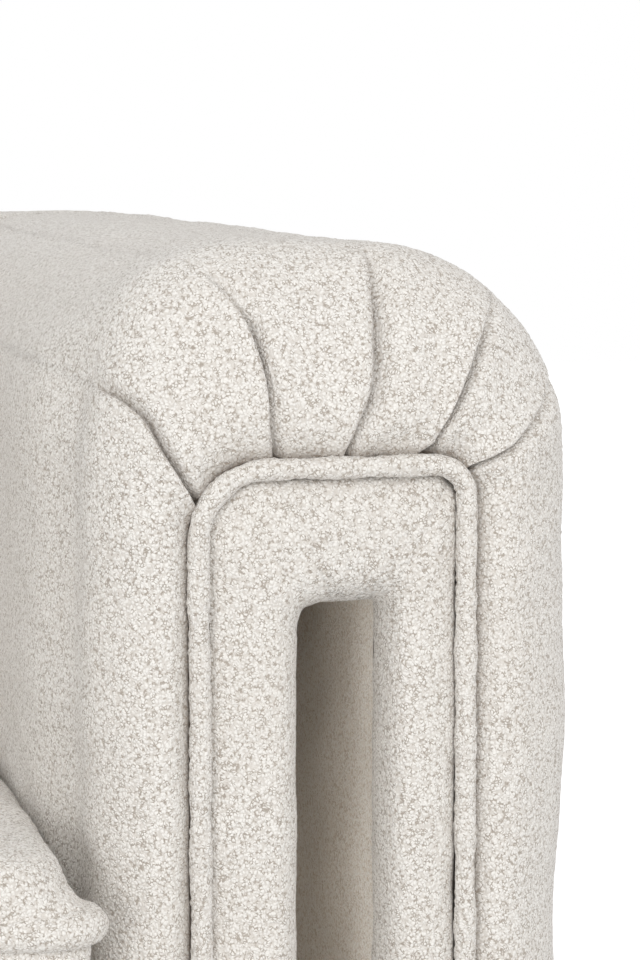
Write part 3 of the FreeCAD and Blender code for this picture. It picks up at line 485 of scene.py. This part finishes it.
def panel_pads(name, side, seed):
    """Padded strips round the slot with soft mitred seams, rolling over into the slot."""
    count = 720
    outside, inside = panel_loop(count), slot_loop(0, count)
    across = inside - outside
    inward = across / np.linalg.norm(across, axis=1, keepdims=True)
    rows = []

    def row(flat, depth):
        rows.append(np.stack([flat[:, 0], np.full(count, depth), flat[:, 1]], 1))

    roll_share, roll_depth = PAD_PROFILE[-1]
    shares = np.concatenate([np.linspace(-0.10, 0.12, 14), np.linspace(0.14, roll_share, 16)])
    for share, depth in zip(shares, smooth_path(shares, PAD_PROFILE[:, 0], PAD_PROFILE[:, 1])):
        row(outside + across * share, depth * MM)
    start = outside + across * roll_share
    gap = np.linalg.norm(inside - start, axis=1)
    for step in range(1, PAD_ROLL_STEPS + 1):
        turn = math.pi / 2 * step / PAD_ROLL_STEPS
        row(start + inward * (gap * np.sin(turn))[:, None],
            roll_depth * MM + PAD_ROLL * (1 - math.cos(turn)))
    # Behind the roll the pad ends outside the sleeve: (depth, how far outside)
    for depth, apart in ((28, 0.1), (30, 0.5), (32, 2.5), (35, 3.5)):
        row(inside - inward * apart * MM, depth * MM)
    grid = np.array(rows)

    # Soft seams where the strips meet, at the middle of each corner's turn
    lift = np.zeros(grid.shape[:2])
    quarter = count // 4
    for corner in range(1, 5):
        seam = corner * quarter - quarter // 5 // 2
        off = np.linalg.norm(grid - grid[:, seam][:, None], axis=-1)
        lift -= 0.9 * MM * bell(off, 2.6 * MM)
        lift += 0.5 * MM * bell(off - 12 * MM, 10 * MM)
    lift += 0.5 * MM * uneven(grid, 70 * MM, seed) + 0.25 * MM * uneven(grid, 30 * MM, seed + 1)
    rng = np.random.default_rng(seed)
    lift += rng.normal(size=lift.shape) * 0.12 * MM
    grid = grid + grid_normals(grid, close_columns=True) * lift[..., None]
    grid[..., 1] += ROLL_FRONT
    grid[..., 0] = side * (ARM_X + grid[..., 0])
    # Shade painted dark along the pads' edge where it tucks under the welt
    painted_shade = np.zeros(grid.shape[:2])
    painted_shade[:len(shares)] = 0.9 * smooth(0.05, 0.0, shares)[:, None]
    return grid_piece(f"{name}_front_pads", grid, side, painted_shade, close_columns=True)


def slot_lining(name, side, seed):
    """The fabric sleeve in the slot: walls that narrow a little, and a back that closes it."""
    count = 360
    slot_x = SLOT_X - ARM_X
    loop = slot_loop(0.8 * MM, count)
    start = ROLL_FRONT + 28.5 * MM
    rows = []
    for depth in np.linspace(start, SLOT_REAR, 40):
        flat = loop.copy()
        flat[:, 0] -= np.sign(loop[:, 0] - slot_x) * 4.5 * MM * smooth(0, 90 * MM, depth - start)
        rows.append(np.stack([flat[:, 0], np.full(count, depth), flat[:, 1]], 1))
    centre = flat.mean(0)
    for share in (0.97, 0.9, 0.6, 0.3, 0.02):
        end = centre + (flat - centre) * share
        depth = SLOT_REAR + (0.9 - share) * 2 * MM
        rows.append(np.stack([end[:, 0], np.full(count, depth), end[:, 1]], 1))
    grid = np.array(rows)
    lift = 0.6 * MM * uneven(grid, 60 * MM, seed)
    grid = grid + grid_normals(grid, close_columns=True) * lift[..., None]
    grid[..., 0] = side * (ARM_X + grid[..., 0])
    return grid_piece(f"{name}_slot_sleeve", grid, side, close_columns=True)


# The back, the seat's border and deck, and the cloth under them

def back_surface(seed):
    """The back's cover: rows across the sofa from mitre to mitre, columns from front to rear."""
    marks = np.linspace(-HALF_GIRTH, HALF_GIRTH, 330)
    offset, height = hood(marks, ARM_HALF, TOP, SHOULDER, SHOULDER, BOTTOM)
    radius = rear_corner(offset)
    end = ARM_X + offset - radius
    arcs = []
    for step in range(ARC_STEPS):
        turn = math.pi / 4 * (1 - step / ARC_STEPS)
        arcs.append(np.stack([-(end + radius * np.sin(turn)),
                              BACK_Y + offset - radius + radius * np.cos(turn), height], 1))
    rows = arcs + [np.stack([end * share, BACK_Y + offset, height], 1) for share in np.linspace(-1, 1, 330)]
    rows += [row * np.array((-1, 1, 1)) for row in arcs[::-1]]
    grid = np.array(rows)
    to_mitre = np.minimum(np.linalg.norm(grid - grid[:1], axis=-1),
                          np.linalg.norm(grid - grid[-1:], axis=-1))
    lift = 0.9 * MM * uneven(grid, 240 * MM, seed) + 0.4 * MM * uneven(grid, 60 * MM, seed + 1)
    lift = sewn_down(lift, to_mitre)
    rng = np.random.default_rng(seed)
    lift += rng.normal(size=lift.shape) * PILE * smooth(0, 4 * MM, to_mitre)
    grid = grid - grid_normals(grid) * lift[..., None]
    return hemmed(grid, 1, np.ones(grid.shape[:2]))


def deck_surface(seed):
    """The padded front border and the deck under the cushions, one cloth."""
    front, low, top, rear = deck_low.y, deck_low.z, deck_high.z, deck_high.y
    bend = 14 * MM
    crown = 5 * MM
    # The ends are tucked into the arms' sides, deep enough to pass the shallow valley there
    tuck = 22 * MM
    profile = [(front + 40 * MM, low - 2 * MM), (front + 6 * MM, low - 2 * MM),
               (front + 1 * MM, low + 0.5 * MM), (front - 1 * MM, low + 6 * MM)]
    for share in np.linspace(0.05, 0.95, 30):
        profile.append((front - crown * math.sin(math.pi * share) ** 0.6,
                        low + (top - bend - low) * share))
    for step in range(8):
        turn = math.pi / 2 * step / 7
        profile.append((front - 0.5 * MM + bend * (1 - math.cos(turn)),
                        top - bend + bend * math.sin(turn)))
    for share in np.linspace(0.03, 1, 40):
        profile.append((front + bend + (rear - front - bend) * share, top - 0.3 * MM))
    profile = np.array(profile)
    half = ARM_X - ARM_HALF + tuck
    columns = np.linspace(-half, half, 300)
    grid = np.empty((len(profile), len(columns), 3))
    grid[..., 0] = columns
    grid[..., 1:] = profile[:, None]
    lift = 0.9 * MM * uneven(grid, 200 * MM, seed) + 0.4 * MM * uneven(grid, 50 * MM, seed + 1)
    lift *= smooth(top - 2 * MM, top - 30 * MM, grid[..., 2])
    return grid + grid_normals(grid) * lift[..., None]


def dust_sheet(seed):
    """The thin black cloth stapled under the frame, sagging a little between its rails."""
    across = np.linspace(dust_low.x, dust_high.x, 260)
    along = np.linspace(dust_low.y, dust_high.y, 110)
    x, y = np.meshgrid(across, along)
    bay = np.abs(np.sin(x / dust_high.x * math.pi)) ** 0.8
    share = (y - dust_low.y) / (dust_high.y - dust_low.y)
    sag = 5 * MM * bay * np.sin(math.pi * share) ** 0.7
    grid = np.stack([x, y, dust_high.z - 0.5 * MM - sag], -1)
    grid[..., 2] -= 0.5 * MM * (1 + uneven(grid, 120 * MM, seed)) * np.sin(math.pi * share)
    return grid


# Seat cushions

UPPER_WELT = 7.5 * MM
LOWER_WELT = 6.5 * MM
CUSHION_WELT_SIDES = 18
CUSHION_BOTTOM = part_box("right_cushion_cover")[0].z
# How far a corner of the upper seam sticks out to the side and to the front, in millimetres
OUTER_FRONT_EAR = (20, 7)
OTHER_EAR = (3, 4)
# How much of that the lower seam has
LOWER_EAR = 0.3


def cushion_plan(count, half_x, half_y, radius, side):
    """A cushion's outline from above, and how far its upper seam sticks out at the corners."""
    loop = rounded_loop([(-half_x, -half_y, radius), (half_x, -half_y, radius),
                         (half_x, half_y, radius), (-half_x, half_y, radius)], count)
    pull_x = 2 * MM * np.cos(loop[:, 1] / half_y * math.pi / 2) ** 1.5 * np.sign(loop[:, 0])
    pull_y = 6 * MM * np.cos(loop[:, 0] / half_x * math.pi / 2) ** 1.5 * np.sign(loop[:, 1])
    loop[:, 0] -= pull_x * smooth(0.6, 1.0, np.abs(loop[:, 0]) / half_x)
    loop[:, 1] -= pull_y * smooth(0.6, 1.0, np.abs(loop[:, 1]) / half_y)
    ears = np.zeros_like(loop)
    for corner_x, corner_y in ((-1, -1), (1, -1), (1, 1), (-1, 1)):
        ear = OUTER_FRONT_EAR if (corner_x, corner_y) == (side, -1) else OTHER_EAR
        off = np.linalg.norm(loop - np.array((corner_x * half_x, corner_y * half_y)), axis=1)
        share = bell(off - 6 * MM, 24 * MM)[:, None]
        ears += share * np.array((corner_x * ear[0], corner_y * ear[1])) * MM
    return loop, ears


def cushion_grid(centre, side, seed):
    """One cushion's cover, from the middle of its top over its edges to the middle of its bottom."""
    count = 600
    half_x = (cushion_high.x - cushion_low.x) / 2 - 1.5 * MM
    half_y = (cushion_high.y - cushion_low.y) / 2 - 6 * MM
    low = CUSHION_BOTTOM + 1 * MM
    seam_low = low + 13 * MM
    seam_high = 429 * MM
    rim = 18 * MM
    rim_inset, rim_rise = 12 * MM, 15 * MM
    crown = 13 * MM
    plan, ears = cushion_plan(count, half_x, half_y, 26 * MM, side)
    spine = np.stack([np.clip(plan[:, 0], -(half_x - half_y), half_x - half_y), np.zeros(count)], 1)
    out = plan - spine
    out /= np.linalg.norm(out, axis=1, keepdims=True)
    rows = []

    def ring(flat, height):
        rows.append(np.stack([flat[:, 0], flat[:, 1], np.full(count, height)], 1))

    # Top, from the spine to where the rim starts to turn down
    edge = plan - out * rim_inset
    for share in np.concatenate([np.linspace(0.0, 0.9, 34), np.linspace(0.92, 0.995, 8)]):
        ring(spine + (edge - spine) * share, seam_high + rim_rise + rim + crown * (1 - share ** 2.2))
    # The rim, swelling out over the seam
    for turn in np.radians(np.linspace(86, -54, 22)):
        stick = smooth(0.35, -0.75, turn)
        ring(edge + out * rim * math.cos(turn) + ears * stick, seam_high + rim_rise + rim * math.sin(turn))
    # Side band
    for share in np.linspace(0.04, 0.96, 20):
        bulge = 6.5 * MM * math.sin(math.pi * share) ** 0.7
        ring(plan + out * bulge + ears * (1 - 0.7 * smooth(0.0, 0.5, share)),
             seam_high + (seam_low - seam_high) * share)
    # Bottom
    for share in (1.0, 0.985, 0.96, 0.93, 0.88, 0.8, 0.6, 0.4, 0.2, 0.0):
        drop = min((1 - share) / 0.07, 1.0)
        ring(spine + (plan + ears * LOWER_EAR - spine) * share,
             seam_low - (seam_low - low) * math.sin(drop * math.pi / 2))
    grid = np.array(rows)
    # Flat normals over the middle, where the rows close up on the spine
    normals = -grid_normals(grid, close_columns=True)
    from_spine = np.linalg.norm(grid[..., :2] - spine, axis=-1)
    middle = smooth(90 * MM, 60 * MM, from_spine)[..., None]
    upright = np.where(grid[..., 2:] > seam_low + 10 * MM, 1.0, -1.0) * np.array((0.0, 0.0, 1.0))
    normals = normals * (1 - middle) + upright * middle
    lift = 1.6 * MM * uneven(grid, 200 * MM, seed) + 0.5 * MM * uneven(grid, 60 * MM, seed + 1)
    lift *= smooth(low + 4 * MM, low + 40 * MM, grid[..., 2])
    rng = np.random.default_rng(seed)
    lift += rng.normal(size=lift.shape) * 0.2 * MM * smooth(40 * MM, 110 * MM, from_spine)
    grid = grid + normals * lift[..., None]
    grid += np.array((centre[0], centre[1], 0.0))
    return grid, plan, ears, (seam_high, seam_low)


def cushion_pieces(name, side, seed):
    """A cushion's cover, and the cords round its upper and lower seams."""
    centre = (side * (cushion_low.x + cushion_high.x) / 2, (cushion_low.y + cushion_high.y) / 2)
    grid, plan, ears, seams = cushion_grid(centre, side, seed)
    cover = grid_piece(f"{name}_cushion", grid, -1, close_columns=True)
    outer_front = np.array((side * np.max(plan[:, 0]), np.min(plan[:, 1])))
    rings = []
    faces = []
    start = 0
    rng = np.random.default_rng(seed + 5)
    # (height, radius, share of the corners' ears, how much fatter at the outer front corner)
    welts = ((seams[0], UPPER_WELT, 1.0, 1.6 * MM), (seams[1], LOWER_WELT, LOWER_EAR, 0.0))
    for number, (level, radius, ear_share, fatter) in enumerate(welts):
        loop = plan + ears * ear_share
        loop = np.concatenate([loop, loop[:1]])
        path = even_path(np.concatenate([loop, np.full((len(loop), 1), level)], 1), 3.2 * MM)[:-1]
        at_corner = bell(np.linalg.norm(path[:, :2] - outer_front, axis=1), 40 * MM)
        path[:, 2] += 0.6 * MM * uneven(path, 150 * MM, seed + number)
        radii = radius + rng.normal(size=(len(path), CUSHION_WELT_SIDES)) * PILE
        radii += fatter * at_corner[:, None]
        ring = tube(path, radii, closed=True)
        ring += np.array((centre[0], centre[1], 0.0))
        rings.append(ring.reshape(-1, 3))
        faces += grid_faces(len(path), CUSHION_WELT_SIDES, close_rows=True, close_columns=True,
                            flip=True, start=start)
        start += len(path) * CUSHION_WELT_SIDES
    cords = mesh_object(f"{name}_cushion_welt_cords", np.concatenate(rings), faces)
    return cover, cords


# Materials

def new_material(name):
    material = bpy.data.materials.new(name)
    material.use_nodes = True
    nodes = material.node_tree.nodes
    nodes.clear()
    output = nodes.new("ShaderNodeOutputMaterial")
    shader = nodes.new("ShaderNodeBsdfPrincipled")
    material.node_tree.links.new(shader.outputs["BSDF"], output.inputs["Surface"])
    return material, nodes, material.node_tree.links, shader


def maths(nodes, links, operation, first, second=None, clamp=False):
    node = nodes.new("ShaderNodeMath")
    node.operation = operation
    node.use_clamp = clamp
    for socket, value in zip(node.inputs, (first, second)):
        if value is None:
            continue
        if isinstance(value, (int, float)):
            socket.default_value = value
        else:
            links.new(value, socket)
    return node.outputs[0]


def ramp(nodes, links, value, low, high, to_low=0.0, to_high=1.0):
    node = nodes.new("ShaderNodeMapRange")
    node.interpolation_type = "SMOOTHSTEP"
    links.new(value, node.inputs["Value"])
    node.inputs["From Min"].default_value = low
    node.inputs["From Max"].default_value = high
    node.inputs["To Min"].default_value = to_low
    node.inputs["To Max"].default_value = to_high
    return node.outputs["Result"]


def mixed(nodes, links, factor, first, second):
    node = nodes.new("ShaderNodeMix")
    node.data_type = "RGBA"
    links.new(factor, node.inputs["Factor"])
    for socket, value in ((node.inputs["A"], first), (node.inputs["B"], second)):
        if isinstance(value, tuple):
            socket.default_value = (*value, 1.0)
        else:
            links.new(value, socket)
    return node.outputs["Result"]


def noise(nodes, links, vector, scale, detail=2.0, roughness=0.5):
    node = nodes.new("ShaderNodeTexNoise")
    node.inputs["Scale"].default_value = scale
    node.inputs["Detail"].default_value = detail
    node.inputs["Roughness"].default_value = roughness
    links.new(vector, node.inputs["Vector"])
    return node


def srgb(red, green, blue):
    """Linear colour of an 0 to 255 display colour."""
    def one(value):
        value /= 255
        return value / 12.92 if value <= 0.04045 else ((value + 0.055) / 1.055) ** 2.4
    return one(red), one(green), one(blue)


NUBS = 610.0


def boucle(name, light, gap):
    """Looped off-white pile: small curly nubs, with shade painted darker towards their edges and in thin
    gaps between them.
    """
    material, nodes, links, shader = new_material(name)
    coords = nodes.new("ShaderNodeTexCoord").outputs["Object"]
    warp = noise(nodes, links, coords, 260.0, 2.0)
    centred = nodes.new("ShaderNodeVectorMath")
    centred.operation = "SUBTRACT"
    centred.inputs[1].default_value = (0.5, 0.5, 0.5)
    links.new(warp.outputs["Color"], centred.inputs[0])
    moved = nodes.new("ShaderNodeVectorMath")
    moved.operation = "MULTIPLY_ADD"
    links.new(centred.outputs[0], moved.inputs[0])
    moved.inputs[1].default_value = (0.0032, 0.0032, 0.0032)
    links.new(coords, moved.inputs[2])

    nubs = nodes.new("ShaderNodeTexVoronoi")
    nubs.feature = "SMOOTH_F1"
    nubs.inputs["Scale"].default_value = NUBS
    nubs.inputs["Smoothness"].default_value = 0.35
    links.new(moved.outputs[0], nubs.inputs["Vector"])
    curls = nodes.new("ShaderNodeTexVoronoi")
    curls.feature = "F1"
    curls.inputs["Scale"].default_value = 800.0
    links.new(moved.outputs[0], curls.inputs["Vector"])
    fuzz = noise(nodes, links, coords, 1500.0, 3.0, 0.6)
    patch = noise(nodes, links, coords, 420.0, 2.0)

    # Height from 0 in the gaps to about 1 on the nubs
    nub = ramp(nodes, links, nubs.outputs["Distance"], 0.72, 0.2)
    curl = ramp(nodes, links, curls.outputs["Distance"], 0.85, 0.25)
    fuzzed = maths(nodes, links, "MULTIPLY_ADD", fuzz.outputs["Fac"], 0.2)
    height = maths(nodes, links, "MULTIPLY_ADD", curl, 0.25)
    links.new(maths(nodes, links, "MULTIPLY", nub, 0.6), height.node.inputs[2])
    links.new(height, fuzzed.node.inputs[2])

    # Shade painted into thin gaps round the nubs, dark only here and there
    edges = nodes.new("ShaderNodeTexVoronoi")
    edges.feature = "DISTANCE_TO_EDGE"
    edges.inputs["Scale"].default_value = NUBS
    links.new(moved.outputs[0], edges.inputs["Vector"])
    line = ramp(nodes, links, edges.outputs["Distance"], 0.20, 0.04)
    broken = ramp(nodes, links, patch.outputs["Fac"], 0.47, 0.60, 0.12, 1.0)
    shade = maths(nodes, links, "MULTIPLY", line, broken)
    # Shade painted darker towards the edge of each nub
    rounded = ramp(nodes, links, fuzzed, 0.75, 0.15, 0.0, 0.45)
    painted_nub_shade_colour = mixed(nodes, links, rounded, srgb(*light), srgb(*(value + 14 for value in gap)))
    colour = mixed(nodes, links, shade, painted_nub_shade_colour, srgb(*gap))
    drift = noise(nodes, links, coords, 9.0, 3.0)
    tinted = mixed(nodes, links, ramp(nodes, links, drift.outputs["Fac"], 0.35, 0.65, 0.0, 0.10),
                   colour, srgb(212, 203, 192))
    # Shade painted dark brown into the colour where the piece's values say: along creases and beside welts
    painted_shade_attribute = nodes.new("ShaderNodeAttribute")
    painted_shade_attribute.attribute_name = "painted_shade"
    painted_shade_amount = maths(nodes, links, "MULTIPLY", painted_shade_attribute.outputs["Fac"], 0.75)
    tinted = mixed(nodes, links, painted_shade_amount, tinted, srgb(112, 96, 80))
    links.new(tinted, shader.inputs["Base Color"])

    bumped(nodes, links, shader, fuzzed, 0.55, 1.3 * MM)
    shader.inputs["Roughness"].default_value = 0.95
    shader.inputs["Specular IOR Level"].default_value = 0.2
    shader.inputs["Sheen Weight"].default_value = 0.25
    shader.inputs["Sheen Roughness"].default_value = 0.6
    return material


def dress(piece, material):
    piece.data.materials.clear()
    piece.data.materials.append(material)


def stretched(nodes, links, scale):
    """Object coordinates stretched by a scale in each direction, for grain and brushing."""
    coords = nodes.new("ShaderNodeTexCoord").outputs["Object"]
    mapping = nodes.new("ShaderNodeMapping")
    mapping.inputs["Scale"].default_value = scale
    links.new(coords, mapping.inputs["Vector"])
    return mapping.outputs[0]


def bumped(nodes, links, shader, height, strength, distance):
    bump = nodes.new("ShaderNodeBump")
    bump.inputs["Strength"].default_value = strength
    bump.inputs["Distance"].default_value = distance
    links.new(height, bump.inputs["Height"])
    links.new(bump.outputs["Normal"], shader.inputs["Normal"])


def grained(name, dark, light, scale, roughness, coat=0.0, veneers=False):
    """Wood with grain along the long way of its scale; veneers shows a board's layers."""
    material, nodes, links, shader = new_material(name)
    vector = stretched(nodes, links, scale)
    figure = noise(nodes, links, vector, 14.0, 6.0, 0.6)
    pores = noise(nodes, links, vector, 90.0, 3.0, 0.5)
    streak = ramp(nodes, links, figure.outputs["Fac"], 0.34, 0.66)
    colour = mixed(nodes, links, streak, srgb(*dark), srgb(*light))
    speck = ramp(nodes, links, pores.outputs["Fac"], 0.42, 0.30, 0.0, 0.5)
    colour = mixed(nodes, links, speck, colour, srgb(*(value * 0.7 for value in dark)))
    if veneers:
        layers = nodes.new("ShaderNodeTexWave")
        layers.inputs["Scale"].default_value = 120.0
        links.new(nodes.new("ShaderNodeTexCoord").outputs["Object"], layers.inputs["Vector"])
        layered = ramp(nodes, links, layers.outputs["Fac"], 0.4, 0.6, 0.0, 0.2)
        colour = mixed(nodes, links, layered, colour, srgb(*dark))
    links.new(colour, shader.inputs["Base Color"])
    links.new(ramp(nodes, links, figure.outputs["Fac"], 0.3, 0.7, roughness, roughness + 0.12),
              shader.inputs["Roughness"])
    shader.inputs["Coat Weight"].default_value = coat
    bumped(nodes, links, shader, pores.outputs["Fac"], 0.25, 0.4 * MM)
    return material


def brushed(name, colour, roughness, spots):
    """Metal with fine brushing and a mottle of plating or oil."""
    material, nodes, links, shader = new_material(name)
    lines = noise(nodes, links, stretched(nodes, links, (1, 1, 12)), 160.0, 3.0)
    mottle = noise(nodes, links, stretched(nodes, links, (1, 1, 1)), spots, 4.0)
    base = mixed(nodes, links, ramp(nodes, links, mottle.outputs["Fac"], 0.35, 0.65), srgb(*colour),
                 srgb(*(value * 0.8 for value in colour)))
    links.new(base, shader.inputs["Base Color"])
    shader.inputs["Metallic"].default_value = 1.0
    links.new(ramp(nodes, links, lines.outputs["Fac"], 0.3, 0.7, roughness, roughness + 0.15),
              shader.inputs["Roughness"])
    bumped(nodes, links, shader, lines.outputs["Fac"], 0.15, 0.1 * MM)
    return material


def woven(name, dark, light, threads):
    """Plain woven or spunbonded cloth, with threads per metre."""
    material, nodes, links, shader = new_material(name)
    vector = stretched(nodes, links, (1, 1, 1))
    waves = []
    for direction in ("X", "Y"):
        wave = nodes.new("ShaderNodeTexWave")
        wave.bands_direction = direction
        wave.inputs["Scale"].default_value = threads / 20
        wave.inputs["Distortion"].default_value = 1.2
        links.new(vector, wave.inputs["Vector"])
        waves.append(wave.outputs["Fac"])
    weave = maths(nodes, links, "MULTIPLY", *waves)
    fluff = noise(nodes, links, vector, 400.0, 3.0)
    height = maths(nodes, links, "MULTIPLY_ADD", fluff.outputs["Fac"], 0.4)
    links.new(weave, height.node.inputs[2])
    colour = mixed(nodes, links, ramp(nodes, links, height, 0.15, 0.9), srgb(*dark), srgb(*light))
    links.new(colour, shader.inputs["Base Color"])
    shader.inputs["Roughness"].default_value = 0.9
    bumped(nodes, links, shader, height, 0.5, 0.5 * MM)
    return material


def pored(name, dark, light, scale, roughness):
    """Foam or moulded plastic with fine pores."""
    material, nodes, links, shader = new_material(name)
    vector = stretched(nodes, links, (1, 1, 1))
    cells = noise(nodes, links, vector, scale, 4.0, 0.6)
    mottle = ramp(nodes, links, cells.outputs["Fac"], 0.35, 0.6)
    colour = mixed(nodes, links, mottle, srgb(*dark), srgb(*light))
    links.new(colour, shader.inputs["Base Color"])
    shader.inputs["Roughness"].default_value = roughness
    bumped(nodes, links, shader, cells.outputs["Fac"], 0.4, 0.4 * MM)
    return material


# Build everything

cloth = boucle("boucle", (241, 238, 233), (168, 158, 147))
# A lighter copy of the bouclé for the slot's sleeve: light painted in to lift the shade deep in the slot
slot_lightened_cloth = boucle("boucle_painted_lighter_in_slot", (254, 250, 243), (214, 200, 182))
for name, side in SIDES.items():
    seed = 20 if side > 0 else 60
    grid, painted_shade = arm_surface(side, seed)
    cover = grid_piece(f"{name}_arm_skin", grid, side, painted_shade)
    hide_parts(f"{name}_arm_cover", f"{name}_arm_padding")
    pads = panel_pads(name, side, seed + 6)
    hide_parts(f"{name}_panel_pads")
    welt = arm_welt(name, side, seed + 8)
    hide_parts(f"{name}_panel_welt")
    lining = slot_lining(name, side, seed + 10)
    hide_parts(f"{name}_slot_lining")
    for piece in (cover, pads, welt, lining):
        dress(piece, slot_lightened_cloth if piece == lining else cloth)
        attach(piece, "sofa_frame")
    cushion, cords = cushion_pieces(name, side, seed + 12)
    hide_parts(f"{name}_cushion_cover", f"{name}_cushion_core")
    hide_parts(f"{name}_cushion_welts")
    for piece in (cushion, cords):
        dress(piece, cloth)
        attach(piece, f"{name}_seat_cushion")

back = grid_piece("back_skin", back_surface(90), -1)
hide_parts("back_cover", "back_padding")
deck = grid_piece("seat_border_and_deck", deck_surface(95), 1)
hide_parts("seat_deck_cover", "deck_padding", "front_border_padding")
for piece in (back, deck):
    dress(piece, cloth)
    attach(piece, "sofa_frame")

sheet = grid_piece("under_sheet", dust_sheet(97), -1)
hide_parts("dust_cover")
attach(sheet, "sofa_frame")

finishes = {
    "boucle": cloth,
    "foam": pored("seat_foam", (214, 200, 160), (238, 228, 196), 900.0, 0.95),
    "plywood": grained("birch_plywood", (186, 150, 108), (218, 188, 148), (1.5, 1.5, 9), 0.6, veneers=True),
    "hardwood": grained("beech_rail", (170, 126, 84), (202, 160, 116), (1, 8, 8), 0.6),
    "hardboard": grained("brown_hardboard", (112, 80, 54), (132, 98, 70), (3, 3, 3), 0.75),
    "foot_wood": grained("dark_walnut_foot", (44, 28, 18), (78, 52, 34), (9, 9, 1.2), 0.32, coat=0.35),
    "spring_steel": brushed("oiled_spring_steel", (112, 112, 116), 0.35, 60.0),
    "zinc": brushed("zinc_plate", (196, 198, 202), 0.28, 120.0),
    "dust_cloth": woven("black_dust_cloth", (18, 18, 19), (44, 44, 46), 900.0),
    "webbing": woven("jute_webbing", (112, 90, 58), (176, 150, 106), 500.0),
    "glide_plastic": pored("black_glide", (16, 16, 17), (30, 30, 31), 1500.0, 0.5),
}
for part in frame["record"]["subparts"]:
    dress(frame["nodes"][part["node"]], finishes[part["material_slot"]])
dress(sheet, finishes["dust_cloth"])


# Floor, light and camera

def floor():
    mesh = bpy.data.meshes.new("floor")
    reach = 8.0
    mesh.from_pydata([(-reach, -reach, 0), (reach, -reach, 0), (reach, reach, 0), (-reach, reach, 0)], [],
                     [(0, 1, 2, 3)])
    piece = bpy.data.objects.new("floor", mesh)
    bpy.context.scene.collection.objects.link(piece)
    material = bpy.data.materials.new("floor_white")
    material.use_nodes = True
    nodes, links = material.node_tree.nodes, material.node_tree.links
    nodes.clear()
    output = nodes.new("ShaderNodeOutputMaterial")
    diffuse = nodes.new("ShaderNodeBsdfDiffuse")
    diffuse.inputs["Color"].default_value = (0.80, 0.80, 0.80, 1)
    glow = nodes.new("ShaderNodeEmission")
    ray = nodes.new("ShaderNodeLightPath")
    links.new(maths(nodes, links, "MULTIPLY", ray.outputs["Is Camera Ray"], 0.55), glow.inputs["Strength"])
    add = nodes.new("ShaderNodeAddShader")
    links.new(diffuse.outputs[0], add.inputs[0])
    links.new(glow.outputs[0], add.inputs[1])
    links.new(add.outputs[0], output.inputs["Surface"])
    mesh.materials.append(material)


def sky(level):
    world = bpy.data.worlds.new("studio")
    bpy.context.scene.world = world
    world.use_nodes = True
    nodes, links = world.node_tree.nodes, world.node_tree.links
    nodes.clear()
    output = nodes.new("ShaderNodeOutputWorld")
    background = nodes.new("ShaderNodeBackground")
    background.inputs["Color"].default_value = (1, 1, 1, 1)
    ray = nodes.new("ShaderNodeLightPath")
    seen = maths(nodes, links, "MAXIMUM", ray.outputs["Is Camera Ray"], ray.outputs["Is Glossy Ray"])
    seen = maths(nodes, links, "MAXIMUM", seen, ray.outputs["Is Transmission Ray"])
    strength = maths(nodes, links, "MULTIPLY_ADD", seen, 1.0 - level)
    strength.node.inputs[2].default_value = level
    links.new(strength, background.inputs["Strength"])
    links.new(background.outputs[0], output.inputs["Surface"])


def lamp(name, place, target, width, power):
    data = bpy.data.lights.new(name, "AREA")
    data.shape = "SQUARE"
    data.size = width
    data.energy = power
    piece = bpy.data.objects.new(name, data)
    bpy.context.scene.collection.objects.link(piece)
    piece.location = place
    piece.rotation_euler = (Vector(target) - Vector(place)).to_track_quat("-Z", "Y").to_euler()


# The camera, from the arm's front: x from its middle, y from the roll, z from its top
YAW = math.radians(15.1)
PITCH = math.radians(6.9)
ROLL = math.radians(0.1)
DISTANCE = 1303 * MM
AIM = Vector((-8.4 * MM, 0, -112 * MM))
FOCAL_PIXELS = 2704
IMAGE_HEIGHT = 960


def camera():
    look = Vector((math.sin(YAW) * math.cos(PITCH), math.cos(YAW) * math.cos(PITCH), -math.sin(PITCH)))
    right = Vector((math.cos(YAW), -math.sin(YAW), 0))
    up = right.cross(look)
    right, up = (right * math.cos(ROLL) + up * math.sin(ROLL), up * math.cos(ROLL) - right * math.sin(ROLL))
    place = Vector((ARM_X, ROLL_FRONT, TOP)) + AIM - look * DISTANCE
    data = bpy.data.cameras.new("camera")
    data.lens = FOCAL_PIXELS * 36 / IMAGE_HEIGHT
    data.sensor_width = 36
    data.clip_start = 0.05
    data.clip_end = 60
    piece = bpy.data.objects.new("camera", data)
    bpy.context.scene.collection.objects.link(piece)
    turn = Matrix((right, up, -look)).transposed()
    piece.matrix_world = Matrix.Translation(place) @ turn.to_4x4()
    bpy.context.scene.camera = piece


floor()
sky(0.76)
lamp("key", (1.6, -4.6, 3.1), (0.8, 0, 0.4), 2.6, 82)
lamp("low_left", (-2.4, -4.2, 0.9), (0.9, -0.3, 0.45), 1.4, 40)
camera()
bpy.context.scene.view_settings.view_transform = "Standard"
